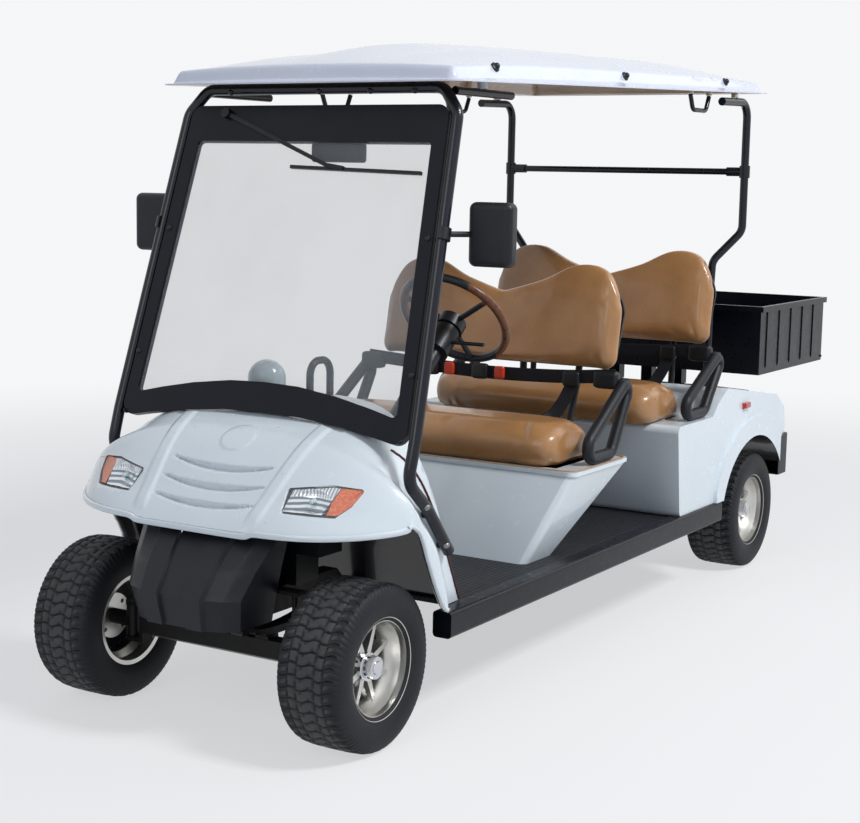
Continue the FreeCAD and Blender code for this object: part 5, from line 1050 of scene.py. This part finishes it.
# lip: y = half s and x = nose - sweep |s|^4.5, where s crowds its points at both ends as a sine
def makeTrims(look):
    lip = look["lip"]
    s = np.sin(np.linspace(-math.pi / 2, math.pi / 2, lip["count"]) * lip["turn"])
    reach, start, over = lip["tuckAt"]
    drop = lip["tuck"] * (1 - smoothStep((abs(s * reach) - start) / over))
    sag = lip["sag"] * (1 - abs(s) ** 3) ** (1 / 3)
    path = np.stack([lip["nose"] - lip["sweep"] * abs(s) ** lip["sweepPower"] + axleShift, lip["half"] * s,
                     lip["z"] - sag - drop], 1)
    lipShape = swept(path, ovalSection(*lip["halves"], 3.0, 12))
    meshPiece("cowl_lip", joined([lipShape] + cowlStrips(look["arch"])), materials["cowlWhite"], "chassis",
              60.0)
    meshPiece("cowl_edge_trim", joined(cowlStrips(look["edge"])), materials["maroonTrim"], "chassis",
              60.0)


makeTrims(trimLook)

rimLook = {
    # places from the front axle; a high power gives small corners
    "front": -1.064, "rear": -1.460, "half": 0.537, "z": 0.6045, "power": 14.0,
    "halves": (0.004, 0.0028), "count": 200,
}


# tan line round the front seat's rim: a superellipse in plan, its section square to it
def makeRimLine(look):
    middle = (look["front"] + look["rear"]) / 2 + axleShift
    plan = ovalSection((look["front"] - look["rear"]) / 2, look["half"], look["power"], look["count"])
    path = np.column_stack([middle + plan[:, 0], plan[:, 1], np.full(len(plan), look["z"])])
    ahead = unit(np.roll(path, -1, 0) - np.roll(path, 1, 0))
    side = np.column_stack([ahead[:, 1], -ahead[:, 0], np.zeros(len(path))])
    section = ovalSection(*look["halves"], 3.0, 10)
    rings = path[:, None] + section[None, :, :1] * side[:, None]
    rings = rings + section[None, :, 1:] * np.array((0, 0, 1.0))
    meshPiece("seat_rim_line", (rings.reshape(-1, 3), gridFaces(len(path), len(section), True, True)),
              materials["tanTrim"], "chassis", sharp=60.0)


makeRimLine(rimLook)
print("trims laid")


# Bolts, buttons, caps and a port: small turned pieces set on what carries them

boltLook = {
    # profiles of (radius, height) from the seat
    "domed": ((0.0, 0.0062), (0.004, 0.0058), (0.0075, 0.0042), (0.0092, 0.0015), (0.0094, -0.001),
              (0.0, -0.001)),
    "capNut": ((0.0, 0.016), (0.005, 0.0152), (0.0085, 0.012), (0.0105, 0.006), (0.0145, 0.004),
               (0.0150, 0.0005), (0.0150, -0.002), (0.0, -0.002)),
    "button": ((0.0, 0.004), (0.0045, 0.004), (0.006, 0.0055), (0.0095, 0.0052), (0.0115, 0.002),
               (0.0118, -0.001), (0.0, -0.001)),
    "port": ((0.0, 0.0015), (0.026, 0.0015), (0.028, 0.0045), (0.036, 0.0050), (0.0395, 0.0025),
             (0.0400, -0.001), (0.0, -0.001)),
    # node, material, profile, places from the front axle, whether both sides have it
    "rows": {
        "hoop_bolts": ("front_roof_hoop", "steelBare", "domed",
                       ((-0.184, 0.545, 0.629), (-0.288, 0.545, 0.503)), True),
        "roof_caps": ("roof", "blackPlastic", "capNut",
                      ((-0.596, 0.49, 1.83), (-1.44, 0.49, 1.85), (-2.303, 0.49, 1.88)), True),
        "pedestal_buttons": ("front_seat_pedestal", "blackPlastic", "button",
                             ((-1.06, 0.071, 0.528), (-1.06, 0.203, 0.530), (-1.06, -0.071, 0.528),
                              (-1.06, -0.203, 0.530)), False),
        "pedestal_port": ("front_seat_pedestal", "blackPlastic", "port", ((-1.06, 0.405, 0.421),), False),
        "screen_bolts": ("windscreen_frame", "blackPlastic", "domed",
                         ((-0.125, 0.492, 0.806), (-0.180, 0.480, 0.990), (-0.300, 0.455, 1.350)), True),
        "bar_bolts": ("front_roof_hoop", "blackPlastic", "domed",
                      ((-0.40, -0.321, 1.738), (-0.40, 0.0, 1.738), (-0.40, 0.177, 1.738),
                       (-0.40, 0.326, 1.738)), False),
    },
}


# each row's profile turned about the normal of the node's nearest face
def makeBolts(look):
    for name, (node, material, profile, places, twoSided) in look["rows"].items():
        chosen = [atRow(*place) for place in places]
        seats, normals = onNode(node, chosen)
        shapes = [turned(look[profile], 24, seat, normal) for seat, normal in zip(seats, normals)]
        if twoSided:
            shapes += [mirrored(shape) for shape in shapes]
        meshPiece(name, joined(shapes), materials[material], "chassis", sharp=40.0)


makeBolts(boltLook)
print("bolts set")


# Seat belts along the foot of each back, with their buckles, and the straps down to the rim

beltLook = {
    "halves": (0.0014, 0.023),
    "front": {"foot": -1.452, "z": 0.860}, "rear": {"foot": -2.256, "z": 0.884},
    # y and drop of the belt's path from one side to the other
    "path": ((-0.49, 0.012), (-0.36, 0.004), (-0.20, -0.006), (-0.02, -0.012), (0.16, -0.010), (0.34, -0.002),
             (0.49, 0.012)),
    # ahead, y and drop of the short strap
    "strap": ((0.000, 0.335, -0.01), (0.012, 0.325, -0.05), (0.030, 0.305, -0.10), (0.052, 0.285, -0.135),
              (0.075, 0.270, -0.146)),
    # how far each stands ahead of the foot line and above its height
    "beltAhead": 0.010, "strapAhead": 0.012, "buckleAt": (0.016, -0.010), "retractorAt": (0.006, -0.004),
    "redBuckles": (0.052, -0.150), "blackBuckles": (-0.025, -0.225, 0.330),
    "redHalves": (0.009, 0.019, 0.022), "blackHalves": (0.012, 0.032, 0.027),
    "retractor": (0.020, 0.045, 0.030), "retractorPlaces": (-0.475, 0.455),
}


# flat sections swept along the belt and the strap, with soft blocks for the buckles and retractors
def makeBelts(row, look):
    x = look[row]["foot"] + axleShift
    z = look[row]["z"]
    wide, thin = look["halves"][::-1]
    path = curveThrough([(x + look["beltAhead"], y, z + drop) for y, drop in look["path"]], 70)
    start = x + look["strapAhead"]
    strap = curveThrough([(start + ahead, y, z + drop) for ahead, y, drop in look["strap"]], 40)
    belt = swept(path, ovalSection(thin, wide, 5.0, 12))
    fall = swept(strap, ovalSection(wide, thin, 5.0, 12), (1, 0, 0))
    meshPiece(f"{row}_belts", joined([belt, fall]), materials["strapBlack"], "chassis", sharp=60.0)
    ahead, up = look["buckleAt"]
    red = [softBlock((x + ahead, y, z + up), look["redHalves"]) for y in look["redBuckles"]]
    black = [softBlock((x + ahead, y, z + up), look["blackHalves"]) for y in look["blackBuckles"]]
    ahead, up = look["retractorAt"]
    black += [softBlock((x + ahead, y, z + up), look["retractor"]) for y in look["retractorPlaces"]]
    meshPiece(f"{row}_buckle_buttons", joined(red), materials["buckleRed"], "chassis", sharp=60.0)
    meshPiece(f"{row}_buckles", joined(black), materials["blackPlastic"], "chassis", sharp=60.0)


for row in ("front", "rear"):
    makeBelts(row, beltLook)
print("belts laid")


# Mirror glass and side markers

smallLook = {
    # place from the front axle and halves
    "sideGlass": ((-0.4315, 0.597, 1.363), (0.0016, 0.055, 0.076)),
    "cabinGlass": ((-0.4531, 0.058, 1.580), (0.0014, 0.084, 0.021)),
    "marker": ((-2.501, 0.556, 0.666), (0.026, 0.004, 0.011)),
}


def makeSmallPieces(look):
    blocks = {}
    for name, power in (("sideGlass", 6.0), ("cabinGlass", 6.0), ("marker", 5.0)):
        place, halves = look[name]
        blocks[name] = softBlock(atRow(*place), halves, power)
    side, marker = blocks["sideGlass"], blocks["marker"]
    meshPiece("mirror_glass", joined([side, mirrored(side), blocks["cabinGlass"]]), materials["mirrorGlass"],
              "chassis", sharp=60.0)
    meshPiece("side_markers", joined([marker, mirrored(marker)]), materials["lampRed"], "chassis", sharp=60.0)


makeSmallPieces(smallLook)
print("small pieces placed")


# Studio: pale floor, pale surroundings for reflections and three large soft lamps

studio = {
    "floorSize": 80.0, "seenColour": (0.92, 0.925, 0.935),
    "floorColour": (0.84, 0.845, 0.855), "floorGlow": 0.62, "fadeReach": (2.6, 7.0),
    "worldColour": (0.78, 0.86, 1.0), "worldLevel": 0.30,
    # place, size, watts
    "lamps": [((0.4, 5.4, 6.4), 1.6, 430.0), ((7.0, 0.5, 4.2), 3.0, 75.0), ((-5.0, 3.0, 5.0), 4.0, 45.0)],
    "aim": (0.0, 0.0, 0.7),
}


# 1 for rays that see the surroundings as they look: camera, mirror-like and through glass
def seenRays(tree):
    rays = tree.nodes.new("ShaderNodeLightPath")
    seen = Socket(tree, rays.outputs["Is Camera Ray"]) + Socket(tree, rays.outputs["Is Glossy Ray"])
    seen = seen + Socket(tree, rays.outputs["Is Transmission Ray"])
    return seen.maths("MINIMUM", seen, 1.0)


# floor and surroundings, which look like one pale backdrop where they are seen, and the aimed lamps
def makeStudio(parts):
    half = parts["floorSize"] / 2
    mesh = bpy.data.meshes.new("floor")
    corners = [(-half, -half, 0), (half, -half, 0), (half, half, 0), (-half, half, 0)]
    mesh.from_pydata(corners, [], [(0, 1, 2, 3)])
    floor = bpy.data.objects.new("floor", mesh)
    material, place = startMaterial("floorPale")
    colour = parts["floorColour"]
    closeMaterial(material, place, {"Roughness": 0.95, "Specular IOR Level": 0.1},
                  {"Base Color": noise(place, 0.8).mix(colour, tuple(0.985 * c for c in colour))})
    # the floor fades into the backdrop's colour away from the cart
    tree = material.node_tree
    x, y, z = place.axes()
    reach = (x * x + y * y) ** 0.5
    far = reach.ramp(*parts["fadeReach"]) * (1.0 - parts["floorGlow"]) + parts["floorGlow"]
    far = far * seenRays(tree)
    surface = next(node for node in tree.nodes if node.type == "BSDF_PRINCIPLED")
    glow = far.node("ShaderNodeEmission", {}, {"Color": (*parts["seenColour"], 1.0), "Strength": 1.0})
    joint = far.node("ShaderNodeMixShader", {}, {0: far, 1: Socket(tree, surface.outputs[0]), 2: glow})
    end = next(node for node in tree.nodes if node.type == "OUTPUT_MATERIAL")
    tree.links.new(joint.socket, end.inputs["Surface"])
    mesh.materials.append(material)
    bpy.context.scene.collection.objects.link(floor)
    world = bpy.data.worlds.new("studio")
    bpy.context.scene.world = world
    world.use_nodes = True
    tree = world.node_tree
    tree.nodes.clear()
    seen = seenRays(tree)
    level = seen * (1.0 - parts["worldLevel"]) + parts["worldLevel"]
    colour = seen.mix(parts["worldColour"], parts["seenColour"])
    back = seen.node("ShaderNodeBackground", {}, {"Color": colour, "Strength": level})
    end = tree.nodes.new("ShaderNodeOutputWorld")
    tree.links.new(back.socket, end.inputs["Surface"])
    for index, (place, size, watts) in enumerate(parts["lamps"]):
        data = bpy.data.lights.new(f"lamp{index}", "AREA")
        data.size = size
        data.energy = watts
        lamp = bpy.data.objects.new(f"lamp{index}", data)
        lamp.location = place
        lamp.rotation_euler = (Vector(parts["aim"]) - Vector(place)).to_track_quat("-Z", "Y").to_euler()
        bpy.context.scene.collection.objects.link(lamp)


makeStudio(studio)
print("studio ready")
